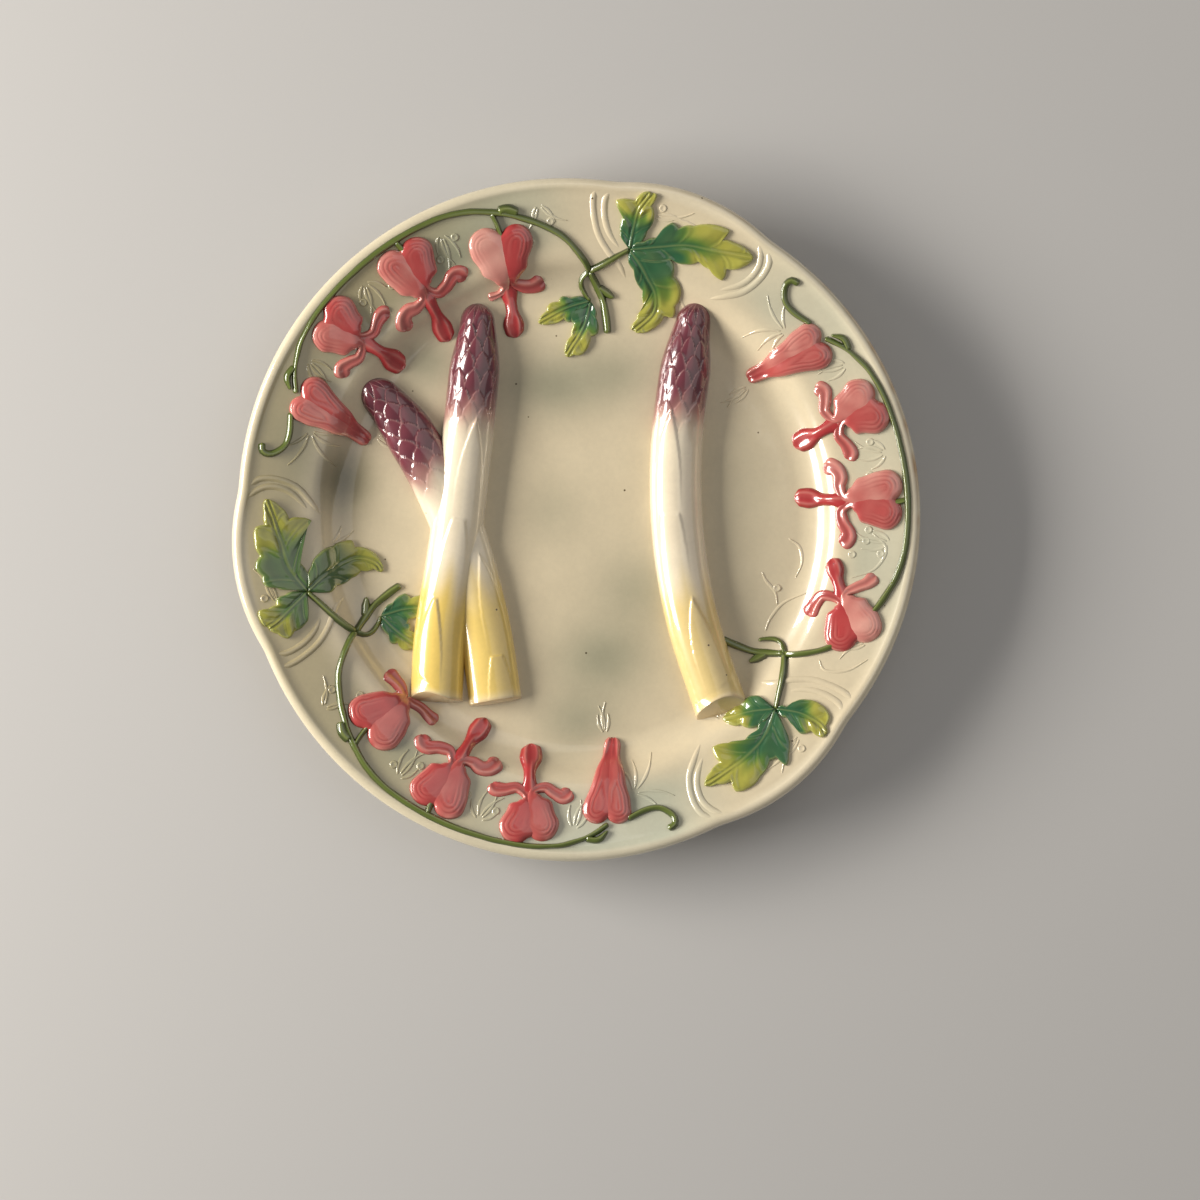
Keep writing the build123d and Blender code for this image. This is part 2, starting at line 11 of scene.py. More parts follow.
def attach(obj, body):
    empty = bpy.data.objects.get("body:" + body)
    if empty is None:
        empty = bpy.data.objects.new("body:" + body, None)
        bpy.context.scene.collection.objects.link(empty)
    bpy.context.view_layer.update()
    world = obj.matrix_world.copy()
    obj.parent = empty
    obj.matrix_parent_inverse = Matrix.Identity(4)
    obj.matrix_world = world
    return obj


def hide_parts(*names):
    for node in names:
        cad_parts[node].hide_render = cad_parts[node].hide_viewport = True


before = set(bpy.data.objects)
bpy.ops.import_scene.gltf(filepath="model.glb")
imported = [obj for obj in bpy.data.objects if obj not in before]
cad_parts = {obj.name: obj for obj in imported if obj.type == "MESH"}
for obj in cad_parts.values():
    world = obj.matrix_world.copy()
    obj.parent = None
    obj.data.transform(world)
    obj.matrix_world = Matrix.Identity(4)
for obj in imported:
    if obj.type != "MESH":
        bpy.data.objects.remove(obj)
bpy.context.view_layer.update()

MM = 0.001                  # everything below is in millimetres until a piece is finished

# The plate
RIM_RADIUS = 120.0
LOBE_RISE = 0.8
NOTCH_DEPTH = 1.8
NOTCH_SOFTNESS = 0.25
EDGE_EASE = 0.05            # glaze shrinks back from the edge by this much
LIP_RADIUS = 2.5
WALL = 4.6
FLOOR_RADIUS = 77.0
FLOOR_HEIGHT = 10.0
COVE_RADIUS = 15.0
COVE_ANGLE = radians(46.0)
SHOULDER_RADIUS = 12.0
RIM_SLOPE = radians(13.0)
FOOT_RADIUS = 74.0
FOOT_WIDTH = 6.0
FOOT_ROUNDING = 1.2
FOOT_HOLLOW = ((2.0, 0.0), (0.5, 0.4), (0.0, 1.4))    # from the underside into the foot, as (out, down)
LOBED_FROM = 98.0           # radius from which the surface is drawn to the lobes of the edge
PLATE_STEPS = 480           # facets round the plate
SINK = 0.35                 # how far the edge of a relief is let into the plate

# The garlands
GARLANDS = ("top", "left", "right")
GARLAND_TURN = 360.0 / len(GARLANDS)
LEAF_FIELD_ANGLE = 69.1     # middle of the first short lobe, from +X
LEAF_FIELD_SPAN = 27.6

COVE_END = FLOOR_RADIUS + COVE_RADIUS * sin(COVE_ANGLE)
COVE_TOP = FLOOR_HEIGHT + COVE_RADIUS * (1 - cos(COVE_ANGLE))
SHOULDER_MIDDLE = COVE_END + SHOULDER_RADIUS * sin(COVE_ANGLE)
SHOULDER_CENTRE = COVE_TOP - SHOULDER_RADIUS * cos(COVE_ANGLE)
SHOULDER_END = SHOULDER_MIDDLE - SHOULDER_RADIUS * sin(RIM_SLOPE)
FIELD_RADIUS = RIM_RADIUS - 2 * LIP_RADIUS    # where the bead begins


# Glaze colours, as a painter would name them; a few also serve as painted shade and painted highlight

def glaze(red, green, blue):
    """A colour given as it looks on a screen, in the renderer's linear values."""
    return tuple((value / 255 / 12.92) if value < 11 else ((value / 255 + 0.055) / 1.055) ** 2.4
                 for value in (red, green, blue))


CREAM = glaze(229, 214, 182)
PALE_CREAM = glaze(234, 222, 194)
# painted shade: the cream darkened and turned olive for the rim's left side
PAINTED_SHADE_CREAM = glaze(176, 162, 118)
GREY_GREEN = glaze(128, 134, 112)
DARK_OLIVE = glaze(92, 90, 62)
BLUE_GREEN = glaze(190, 202, 186)
BARE_CLAY = glaze(196, 160, 118)
PALE_PINK = glaze(236, 172, 157)
RED = glaze(190, 58, 60)
DEEP_RED = glaze(134, 27, 35)
TEAL = glaze(44, 98, 62)
GREEN = glaze(88, 128, 48)
OLIVE = glaze(112, 118, 48)
LIME = glaze(178, 174, 72)
VEIN = glaze(204, 206, 132)
STEM_GREEN = glaze(100, 114, 48)
STEM_DARK = glaze(54, 66, 28)
# painted highlight along the stems
STEM_HIGHLIGHT = glaze(156, 164, 96)
PURPLE = glaze(126, 60, 72)
# also painted shade towards the root of each scale on a spear's head
PLUM = glaze(84, 38, 50)
SCALE_EDGE = glaze(216, 172, 164)
STALK = glaze(250, 236, 208)
BLUSH = glaze(206, 160, 146)
YELLOW = glaze(242, 206, 84)
CUT_END = glaze(214, 190, 146)


def mix(first, second, share):
    share = min(max(share, 0.0), 1.0)
    return tuple(a + (b - a) * share for a, b in zip(first, second))


def smooth(low, high, value):
    """0 below low, 1 above high and a soft step between them."""
    share = min(max((value - low) / (high - low), 0.0), 1.0)
    return share * share * (3 - 2 * share)


def bell(distance, width):
    return exp(-(distance / width) ** 2)


# The plate's upper surface

def surface_slope(radius):
    if radius <= FLOOR_RADIUS:
        return 0.0
    if radius <= COVE_END:
        return asin((radius - FLOOR_RADIUS) / COVE_RADIUS)
    if radius <= SHOULDER_END:
        return asin((SHOULDER_MIDDLE - radius) / SHOULDER_RADIUS)
    return RIM_SLOPE


def surface_height(radius):
    slope = surface_slope(radius)
    if radius <= COVE_END:
        return FLOOR_HEIGHT + COVE_RADIUS * (1 - cos(slope))
    shoulder = SHOULDER_CENTRE + SHOULDER_RADIUS * cos(slope)
    return shoulder + max(0.0, radius - SHOULDER_END) * tan(slope)


def on_plate(x, y, lift):
    """The point at this lift over (x, y), square to the plate's surface."""
    radius = max(hypot(x, y), 1e-6)
    slope = surface_slope(radius)
    inward = lift * sin(slope) / radius
    return Vector((x - x * inward, y - y * inward, surface_height(radius) + lift * cos(slope)))


def lobe_circle(reach, span):
    """A lobe of the edge as a circle: how far its centre is shifted outwards, and its radius."""
    notch = RIM_RADIUS - NOTCH_DEPTH
    shift = (reach**2 - notch**2) / (2 * (reach - notch * cos(span / 2)))
    return shift, reach - shift


def edge_lobes():
    """The middle angle, shift and radius of the six lobes."""
    short = radians(LEAF_FIELD_SPAN)
    turn = radians(GARLAND_TURN)
    for count in range(len(GARLANDS)):
        middle = radians(LEAF_FIELD_ANGLE) + count * turn
        yield middle, *lobe_circle(RIM_RADIUS + LOBE_RISE, short)
        yield middle + turn / 2, *lobe_circle(RIM_RADIUS, turn - short)


LOBES = tuple(edge_lobes())


def edge_radius(angle):
    """How far the edge of the plate is from its centre: six lobes that run softly into each other."""
    reaches = []
    for middle, shift, radius in LOBES:
        aside = shift * sin(angle - middle)
        if abs(aside) < radius:
            reaches.append(shift * cos(angle - middle) + sqrt(radius**2 - aside**2))
    longest = max(reaches)
    blend = NOTCH_SOFTNESS * log(sum(exp((reach - longest) / NOTCH_SOFTNESS) for reach in reaches))
    return longest + blend - EDGE_EASE


# Plan positions

def polar(radius, angle):
    return Vector((radius * cos(radians(angle)), radius * sin(radians(angle))))


def placed(points, seat):
    """Plan positions of (forward, left) points from a seat (angle, inset from the edge, heading). The heading
    is measured from straight inwards."""
    angle, inset, heading = seat
    way = polar(1.0, angle + 180 + heading)
    across = Vector((-way.y, way.x))
    return [polar(RIM_RADIUS - inset, angle) + way * forward + across * left for forward, left in points]


def along_rim(points):
    """Plan positions of (angle, inset from the edge) points."""
    return [polar(RIM_RADIUS - inset, angle) for angle, inset in points]


class Route:
    """A smooth plan curve through a few points, measured along its length."""

    STEPS = 12

    def __init__(self, points):
        points = [Vector(point) for point in points]
        ends = [points[0] * 2 - points[1], *points, points[-1] * 2 - points[-2]]
        self.line = []
        for before, start, end, after in zip(ends, ends[1:], ends[2:], ends[3:]):
            for step in range(self.STEPS):
                t = step / self.STEPS
                self.line.append((start * 2 + (end - before) * t
                                  + (before * 2 - start * 5 + end * 4 - after) * t**2
                                  + (start * 3 - before - end * 3 + after) * t**3) / 2)
        self.line.append(points[-1])
        self.marks = [0.0]
        for start, end in zip(self.line, self.line[1:]):
            self.marks.append(self.marks[-1] + (end - start).length)
        self.length = self.marks[-1]

    def at(self, distance):
        """The point at this distance and the way the curve runs there."""
        index = min(max(bisect_right(self.marks, distance) - 1, 0), len(self.line) - 2)
        start, end = self.line[index], self.line[index + 1]
        before = self.line[max(index - 1, 0)]
        after = self.line[min(index + 2, len(self.line) - 1)]
        share = (distance - self.marks[index]) / (self.marks[index + 1] - self.marks[index])
        way = (end - before).lerp(after - start, share).normalized()
        return start.lerp(end, share), way


def stations(*points):
    """A size that changes smoothly through (share of the length, size) points."""
    def size(share):
        for (start, first), (end, second) in zip(points, points[1:]):
            if share <= end:
                return first + (second - first) * smooth(start, end, share)
        return points[-1][1]
    return size


# Clay strips: the shape that all reliefs are made of

LENGTHWISE = Matrix.Rotation(pi / 2, 4, "Y")
CROWN_SHARE = 0.8           # share of a strip's facets on its upper side


def new_clay():
    clay = bmesh.new()
    clay.verts.layers.float_color.new("glaze")
    return clay


def crowned(around):
    """An angle round a strip, moved so that most facets lie on its upper side."""
    from_crown = (around - pi / 2 + pi) % (2 * pi) - pi
    share = abs(from_crown) / pi
    if share < CROWN_SHARE:
        moved = share * 0.5 / CROWN_SHARE
    else:
        moved = 0.5 + (share - CROWN_SHARE) * 0.5 / (1 - CROWN_SHARE)
    return pi / 2 + (moved if from_crown > 0 else -moved) * pi


def open_share(distance, length, caps):
    """How far a strip with round ends is open at a distance along it: 0 at its ends, 1 between the caps."""
    share = min(distance / caps[0], (length - distance) / caps[1], 1.0)
    return sqrt(max(0.0, 1 - (1 - share) ** 2))


def add_strip(clay, route, half_width, height, model, rings=40, segments=20, caps=(1.0, 1.0), fullness=2.0,
              sweep=0.0, lean=0.0):
    """Adds a closed strip along a route, domed over the plate and let into it underneath.

    half_width(share, side) and height(share) are its sizes. model(share, across) gives what it adds to the
    height and its colour, where across runs from -1 at the right edge to 1 at the left. The caps are the
    lengths of its round ends, and a higher fullness makes its section squarer. The sides sweep forwards by an
    angle, as the veins of a leaf do, and a lean pulls the crown of the far end back."""
    colour = clay.verts.layers.float_color["glaze"]
    made = bmesh.ops.create_uvsphere(clay, u_segments=segments, v_segments=rings, radius=1.0,
                                     matrix=LENGTHWISE)
    for vert in made["verts"]:
        share = min(max((1 - vert.co.x) / 2, 0.0), 1.0)
        around = crowned(atan2(vert.co.z, vert.co.y))
        across = cos(around)
        distance = share * route.length
        opening = open_share(distance, route.length, caps)
        dome = max(0.0, 1 - abs(across) ** fullness) ** (1 / fullness) if 0 < around < pi else 0.0
        extra, paint = model(share, across)
        lift = dome * ((height(share) + SINK) * opening + extra * min(1.0, 1.5 * opening)) - SINK
        back = lean * max(0.0, lift) / height(share) * smooth(0.9, 1.0, share)
        middle, way = route.at(distance - back)
        aside = Vector((-way.y, way.x)) * across * cos(sweep) + way * abs(across) * sin(sweep)
        plan = middle + aside * half_width(share, 1 if across > 0 else -1) * opening
        vert.co = on_plate(plan.x, plan.y, lift)
        vert[colour] = (*paint, 1.0)


def finish_piece(clay, name, material, turn=0.0, replaces=True):
    """Turns a piece to its garland and puts it on the plate, in place of the plain solid of the same name
    where there is one. A cream piece is painted as the plate is painted where the piece lies."""
    bmesh.ops.recalc_face_normals(clay, faces=clay.faces)
    bmesh.ops.rotate(clay, verts=clay.verts, cent=(0, 0, 0), matrix=Matrix.Rotation(radians(turn), 3, "Z"))
    if material is CREAM_GLAZE:
        colour = clay.verts.layers.float_color["glaze"]
        for vert in clay.verts:
            vert[colour] = (*plate_colour(*vert.co), 1.0)
    bmesh.ops.scale(clay, verts=clay.verts, vec=(MM, MM, MM))
    mesh = bpy.data.meshes.new(f"{name}_clay")
    clay.to_mesh(mesh)
    clay.free()
    mesh.shade_smooth()
    mesh.materials.append(material)
    piece = bpy.data.objects.new(f"{name}_glazed", mesh)
    bpy.context.scene.collection.objects.link(piece)
    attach(piece, "root")
    if replaces:
        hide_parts(name)


# Materials

MIX_COLOURS = (6, 7)        # sockets of the two colours in a Mix node
MIX_RESULT = 2
GLAZE_IOR = 1.5
COAT_IOR = 1.55
COAT_ROUGHNESS = 0.04
SHEEN = (0.16, 0.30)        # roughness under the coat, from the smoothest to the dullest spots
CLOUD_SCALE = 70.0          # how fine the patterns of the glaze are
GRAIN_SCALE = 650.0
SPECK_SCALE = 95.0
RIPPLE_SCALE = 180.0
RIPPLE_STRENGTH = 0.06
RIPPLE_DEPTH = 0.0005
SPECK_CORE = (0.10, 0.07, 0.04)
SPECK_EDGE = (0.20, 0.16, 0.10)


def add_node(material, kind, settings=(), **values):
    """A node with some settings, and some inputs set or linked by name."""
    node = material.node_tree.nodes.new(kind)
    for name, value in dict(settings).items():
        setattr(node, name, value)
    for name, value in values.items():
        socket = node.inputs[name.replace("_", " ")]
        if isinstance(value, bpy.types.NodeSocket):
            material.node_tree.links.new(value, socket)
        else:
            socket.default_value = value
    return node


def multiply(material, first, second):
    """Two colours multiplied."""
    node = material.node_tree.nodes.new("ShaderNodeMix")
    node.data_type = "RGBA"
    node.blend_type = "MULTIPLY"
    node.inputs[0].default_value = 1.0
    for socket, colour in zip(MIX_COLOURS, (first, second)):
        material.node_tree.links.new(colour, node.inputs[socket])
    return node.outputs[MIX_RESULT]


def shades(material, value, *stops):
    """Colours along a value, as (place, grey or colour) stops."""
    node = add_node(material, "ShaderNodeValToRGB", Fac=value)
    ramp = node.color_ramp
    while len(ramp.elements) < len(stops):
        ramp.elements.new(1.0)
    for element, (place, tone) in zip(ramp.elements, stops):
        element.position = place
        element.color = (*(tone if isinstance(tone, tuple) else (tone, tone, tone)), 1.0)
    return node.outputs["Color"]


def glazed_clay(name, mottling, specks):
    """Thick shiny glaze over painted clay. The painted colour is mottled softly and has dark specks."""
    material = bpy.data.materials.new(name)
    material.use_nodes = True
    links = material.node_tree.links
    shader = material.node_tree.nodes["Principled BSDF"]
    shader.inputs["IOR"].default_value = GLAZE_IOR
    shader.inputs["Coat Weight"].default_value = 1.0
    shader.inputs["Coat Roughness"].default_value = COAT_ROUGHNESS
    shader.inputs["Coat IOR"].default_value = COAT_IOR
    place = add_node(material, "ShaderNodeTexCoord").outputs["Object"]
    painted = add_node(material, "ShaderNodeAttribute", {"attribute_name": "glaze"}).outputs["Color"]
    clouds = add_node(material, "ShaderNodeTexNoise", Vector=place, Scale=CLOUD_SCALE, Detail=4.0,
                      Roughness=0.55)
    grain = add_node(material, "ShaderNodeTexNoise", Vector=place, Scale=GRAIN_SCALE, Detail=3.0,
                     Roughness=0.6)
    dots = add_node(material, "ShaderNodeTexVoronoi", Vector=place, Scale=SPECK_SCALE)
    tone = shades(material, clouds.outputs["Fac"], (0.3, 1 - mottling), (0.7, 1.0))
    fine = shades(material, grain.outputs["Fac"], (0.35, 0.965), (0.65, 1.0))
    speck = shades(material, dots.outputs["Distance"], (0.0, SPECK_CORE), (specks, SPECK_EDGE),
                   (specks * 1.25, 1.0))
    colour = multiply(material, multiply(material, painted, tone), multiply(material, fine, speck))
    links.new(colour, shader.inputs["Base Color"])
    sheen = add_node(material, "ShaderNodeMapRange", Value=clouds.outputs["Fac"],
                     To_Min=SHEEN[0], To_Max=SHEEN[1])
    links.new(sheen.outputs["Result"], shader.inputs["Roughness"])
    ripple = add_node(material, "ShaderNodeTexNoise", Vector=place, Scale=RIPPLE_SCALE, Detail=2.0)
    bump = add_node(material, "ShaderNodeBump", Height=ripple.outputs["Fac"],
                    Strength=RIPPLE_STRENGTH, Distance=RIPPLE_DEPTH)
    links.new(bump.outputs["Normal"], shader.inputs["Normal"])
    links.new(bump.outputs["Normal"], shader.inputs["Coat Normal"])
    return material


CREAM_GLAZE = glazed_clay("cream_glaze", mottling=0.07, specks=0.030)
ASPARAGUS_GLAZE = glazed_clay("asparagus_glaze", mottling=0.10, specks=0.03)
PINK_GLAZE = glazed_clay("pink_glaze", mottling=0.16, specks=0.02)
LEAF_GLAZE = glazed_clay("leaf_glaze", mottling=0.18, specks=0.02)
STEM_GLAZE = glazed_clay("stem_glaze", mottling=0.22, specks=0.02)


# Plate body

CLOUDS = (                  # airbrushed clouds: x, y, half-width, half-height, strength
    (-82, 14, 11, 13, 0.85), (-52, 55, 12, 10, 0.55), (-8, 47, 18, 11, 0.60), (14, 51, 16, 11, 0.45),
    (-8, 3, 12, 12, 0.25), (21, -25, 16, 15, 0.45), (9, -49, 17, 13, 0.65), (1, -71, 14, 11, 0.55),
    (59, 10, 18, 28, 0.20), (62, -29, 16, 18, 0.15),
)
FLOWER_FIELD = (98.0, 168.0)    # angles of a garland's flowers, over which the rim is tinted
TINT_START = (-12, 10)      # angles from the field's start, over which the tint comes in
TINT_END = (-4, 14)         # angles from the field's end, over which it goes
TINT_RADII = (90, 102)      # radii over which the tint comes in
PALE_BEAD = (114.5, 117)    # radii over which the glaze of the bead turns pale
WORN_EDGE = (117.6, 119.2)  # radii over which the worn stretch of the edge shows clay
WORN_ANGLE = 20
WORN_SPREAD = 34
BEAD_TURNS = range(134, -91, -14)    # degrees round the section of the bead
UNDERSIDE_RINGS = (0.85, 0.6, 0.35, 0.15, 0.0)    # inside the foot, as shares of its radius
FOOT_CLEARANCE = 0.5        # how far up and beside the foot the glaze is wiped off


def plate_colour(x, y, z):
    """Cream glaze with soft grey-green clouds, a tint behind the flowers and a bare foot. The rim is darkened
    towards the left as painted shade, and the tint thins towards the right as painted light.
    """
    radius = hypot(x, y)
    angle = (degrees(atan2(y, x)) - FLOWER_FIELD[0]) % GARLAND_TURN
    span = FLOWER_FIELD[1] - FLOWER_FIELD[0]
    behind = smooth(*TINT_START, angle) * (1 - smooth(span + TINT_END[0], span + TINT_END[1], angle))
    behind += smooth(GARLAND_TURN + TINT_START[0], GARLAND_TURN + TINT_START[1], angle)
    drift = noise.noise(Vector((x, y, 0)) * 0.035)
    rim = smooth(*TINT_RADII, radius)
    # Painted shade: the rim is painted darker and more olive towards the left, which faces away from the
    # window.
    left = smooth(20, -95, x)
    # The tint behind the flowers, with painted light that thins it towards the lit right side.
    tint = behind * rim * (0.75 + 0.5 * drift) * (1 - 0.6 * smooth(10, 90, x))
    # The tint and the rim turn darker on the left as painted shade.
    colour = mix(CREAM, mix(BLUE_GREEN, PAINTED_SHADE_CREAM, 0.6 * left), tint)
    colour = mix(colour, PAINTED_SHADE_CREAM, 0.75 * left * rim)
    colour = mix(colour, GREY_GREEN, 0.45 * tint * (1 - smooth(98, 112, radius)))
    for cloud_x, cloud_y, width, depth, strength in CLOUDS:
        soft = bell(hypot((x - cloud_x) / width, (y - cloud_y) / depth), 1.0)
        colour = mix(colour, DARK_OLIVE if strength > 0.8 else GREY_GREEN, strength * soft)
    colour = mix(colour, PALE_CREAM, 0.8 * smooth(*PALE_BEAD, radius))
    worn = 0.5 + noise.noise(Vector((x, y, 9)) * 0.2)
    worn *= smooth(*WORN_EDGE, radius) * bell(degrees(atan2(y, x)) - WORN_ANGLE, WORN_SPREAD)
    colour = mix(colour, BARE_CLAY, worn)
    on_foot = abs(radius - FOOT_RADIUS + FOOT_WIDTH / 2) < FOOT_WIDTH / 2 + FOOT_CLEARANCE
    return mix(colour, BARE_CLAY, 0.85 * (1 - smooth(0.05, FOOT_CLEARANCE, z))) if on_foot else colour


def steps_between(start, end, count):
    return [start + (end - start) * step / count for step in range(count)]


def plate_profile():
    """Half a section of the plate, from the middle of the well over the bead and back underneath."""
    upper = (steps_between(0, FLOOR_RADIUS, 26) + steps_between(FLOOR_RADIUS, COVE_END, 12)
             + steps_between(COVE_END, SHOULDER_END, 8) + steps_between(SHOULDER_END, FIELD_RADIUS, 18))
    outline = [(radius, surface_height(radius)) for radius in upper]
    bead = RIM_RADIUS - LIP_RADIUS
    middle = surface_height(bead) - WALL / cos(RIM_SLOPE) + LIP_RADIUS
    for turn in BEAD_TURNS:
        outline.append((bead + LIP_RADIUS * cos(radians(turn)), middle + LIP_RADIUS * sin(radians(turn))))
    for radius in reversed(upper):
        if FLOOR_RADIUS < radius < bead - 1.5 * WALL:
            slope = surface_slope(radius)
            outline.append((radius + WALL * sin(slope), surface_height(radius) - WALL * cos(slope)))
    below = FLOOR_HEIGHT - WALL
    inside = FOOT_RADIUS - FOOT_WIDTH
    outline += [(FOOT_RADIUS + out, below - down) for out, down in FOOT_HOLLOW]
    corners = [(FOOT_RADIUS - FOOT_ROUNDING, turn) for turn in (0, -30, -60, -90)]
    corners += [(inside + FOOT_ROUNDING, turn) for turn in (-90, -120, -150, -180)]
    outline += [(radius + FOOT_ROUNDING * cos(radians(turn)), FOOT_ROUNDING * (1 + sin(radians(turn))))
                for radius, turn in corners]
    outline += [(inside - out, below - down) for out, down in reversed(FOOT_HOLLOW)]
    outline += [(inside * share, below) for share in UNDERSIDE_RINGS]
    return outline


def add_plate(clay):
    """The profile turned once round, then drawn out and in to the lobes of the edge."""
    corners = [clay.verts.new((radius, 0, height)) for radius, height in plate_profile()]
    edges = [clay.edges.new(pair) for pair in zip(corners, corners[1:])]
    bmesh.ops.spin(clay, geom=corners + edges, cent=(0, 0, 0), axis=(0, 0, 1), angle=2 * pi,
                   steps=PLATE_STEPS, use_merge=True)
    bmesh.ops.remove_doubles(clay, verts=clay.verts, dist=0.001)
    for vert in clay.verts:
        radius = hypot(vert.co.x, vert.co.y)
        share = smooth(LOBED_FROM, FIELD_RADIUS, radius)
        if share > 0:
            angle = atan2(vert.co.y, vert.co.x)
            drawn = radius + (edge_radius(angle) - RIM_RADIUS) * share
            if vert.co.z > surface_height(radius) - 0.01 and radius < FIELD_RADIUS + 0.1:
                vert.co.z += surface_height(drawn) - surface_height(radius)
            vert.co.x *= drawn / radius
            vert.co.y *= drawn / radius


# Flowers

# A petal's lobe is (forward, left, radius) from the flower's seat, and its neck and spur are (forward, left)
# places. An inner petal is (length, width of its bulb).
FIRST_FLOWERS = {           # the first flower differs in each garland
    "top": dict(
        seat=(106.6, 36.0, -7.6), inner=(17.2, 3.8),
        petals=(dict(lobe=(-16.0, 5.7, 5.6), neck=(-3.0, 1.9), paleness=0.05, spur_width=2.3,
                     spur=((-0.5, 5.0), (0.2, 8.8), (-1.0, 13.0))),
                dict(lobe=(-15.3, -4.9, 6.5), neck=(-1.8, -0.9), paleness=0.95, spur_width=1.1,
                     spur=((0.8, -3.0), (2.0, -7.4))))),
    "left": dict(           # beside the spear's end, with no inner petal to be seen
        seat=(106.6, 36.0, -7.6), inner=None,
        petals=(dict(lobe=(-16.6, 5.4, 5.8), neck=(-4.0, 0.7), paleness=0.1, spur_width=2.0,
                     spur=((-2.2, 2.6), (-1.7, 5.8), (-2.0, 11.6))),
                dict(lobe=(-15.6, -4.9, 6.4), neck=(-3.6, -1.3), paleness=0.5, spur_width=1.7,
                     spur=((-1.8, -3.6), (-0.7, -6.6), (-0.3, -9.8), (0.3, -13.6))))),
    "right": dict(          # lies across the stem
        seat=(103.6, 23.1, -58.6), inner=(14.2, 3.2),
        petals=(dict(lobe=(-12.6, 4.1, 5.9), neck=(-1.6, 0.9), paleness=0.0, spur_width=1.9,
                     spur=((2.2, 5.8), (0.4, 9.5), (-3.4, 13.3))),
                dict(lobe=(-11.3, -4.6, 6.3), neck=(0.4, -1.1), paleness=0.6, spur_width=1.9,
                     spur=((2.0, -5.5), (2.6, -9.7), (4.5, -13.0))))),
}
FLOWERS = {                 # the same in each garland, as the bud is
    "flower_2": dict(
        seat=(123.9, 24.9, -7.3), inner=(18.6, 3.7),
        petals=(dict(lobe=(-12.9, 3.7, 6.0), neck=(-1.2, 1.2), paleness=0.1, spur_width=2.1,
                     spur=((2.1, 3.9), (1.4, 7.7), (-0.7, 11.2), (-0.6, 13.6), (2.0, 15.6))),
                dict(lobe=(-12.5, -5.4, 6.0), neck=(1.0, -0.9), paleness=0.5, spur_width=2.3,
                     spur=((3.3, -4.4), (3.2, -8.0), (5.2, -10.8), (9.3, -12.0))))),
    "flower_3": dict(
        seat=(140.4, 22.7, 8.6), inner=(17.3, 4.1),
        petals=(dict(lobe=(-11.6, 4.7, 5.8), neck=(-1.6, 0.9), paleness=0.12, spur_width=2.0,
                     spur=((1.9, 4.3), (1.3, 8.8), (1.6, 12.0), (3.6, 13.4))),
                dict(lobe=(-10.6, -4.5, 5.9), neck=(0.4, -1.1), paleness=0.45, spur_width=2.0,
                     spur=((2.2, -5.2), (0.3, -8.7), (-0.9, -11.8), (1.4, -14.4))))),
}
BUD = dict(seat=(157.3, 33.3, -11.3),
           petals=(dict(lobe=(-15.8, 2.9, 4.9), neck=(9.6, -0.5), paleness=0.15),
                   dict(lobe=(-15.4, -4.7, 4.8), neck=(9.6, -1.7), paleness=0.4)))
# Partly each garland's own colour and partly painted light: the right garland, lit by the window, is made
# paler.
PALENESS_AND_LIGHT = {                # paleness of the pink glaze by garland, as a factor and an offset of each petal's paleness
    "top": (1.0, 0.0),
    "left": (0.5, 0.05),
    "right": (1.35, 0.06),
}
HEART_HEIGHT = 2.6
NECK_HALF_WIDTH = 1.6
BUD_TAIL = 0.76             # where the tail of a bud begins, as a share of its length
OVERLAP = 3.4               # how far the two halves of a heart run into each other
RIDGE_SPACING = 1.35        # from one fine line of a petal to the next
RIDGE_DEPTH = 0.16


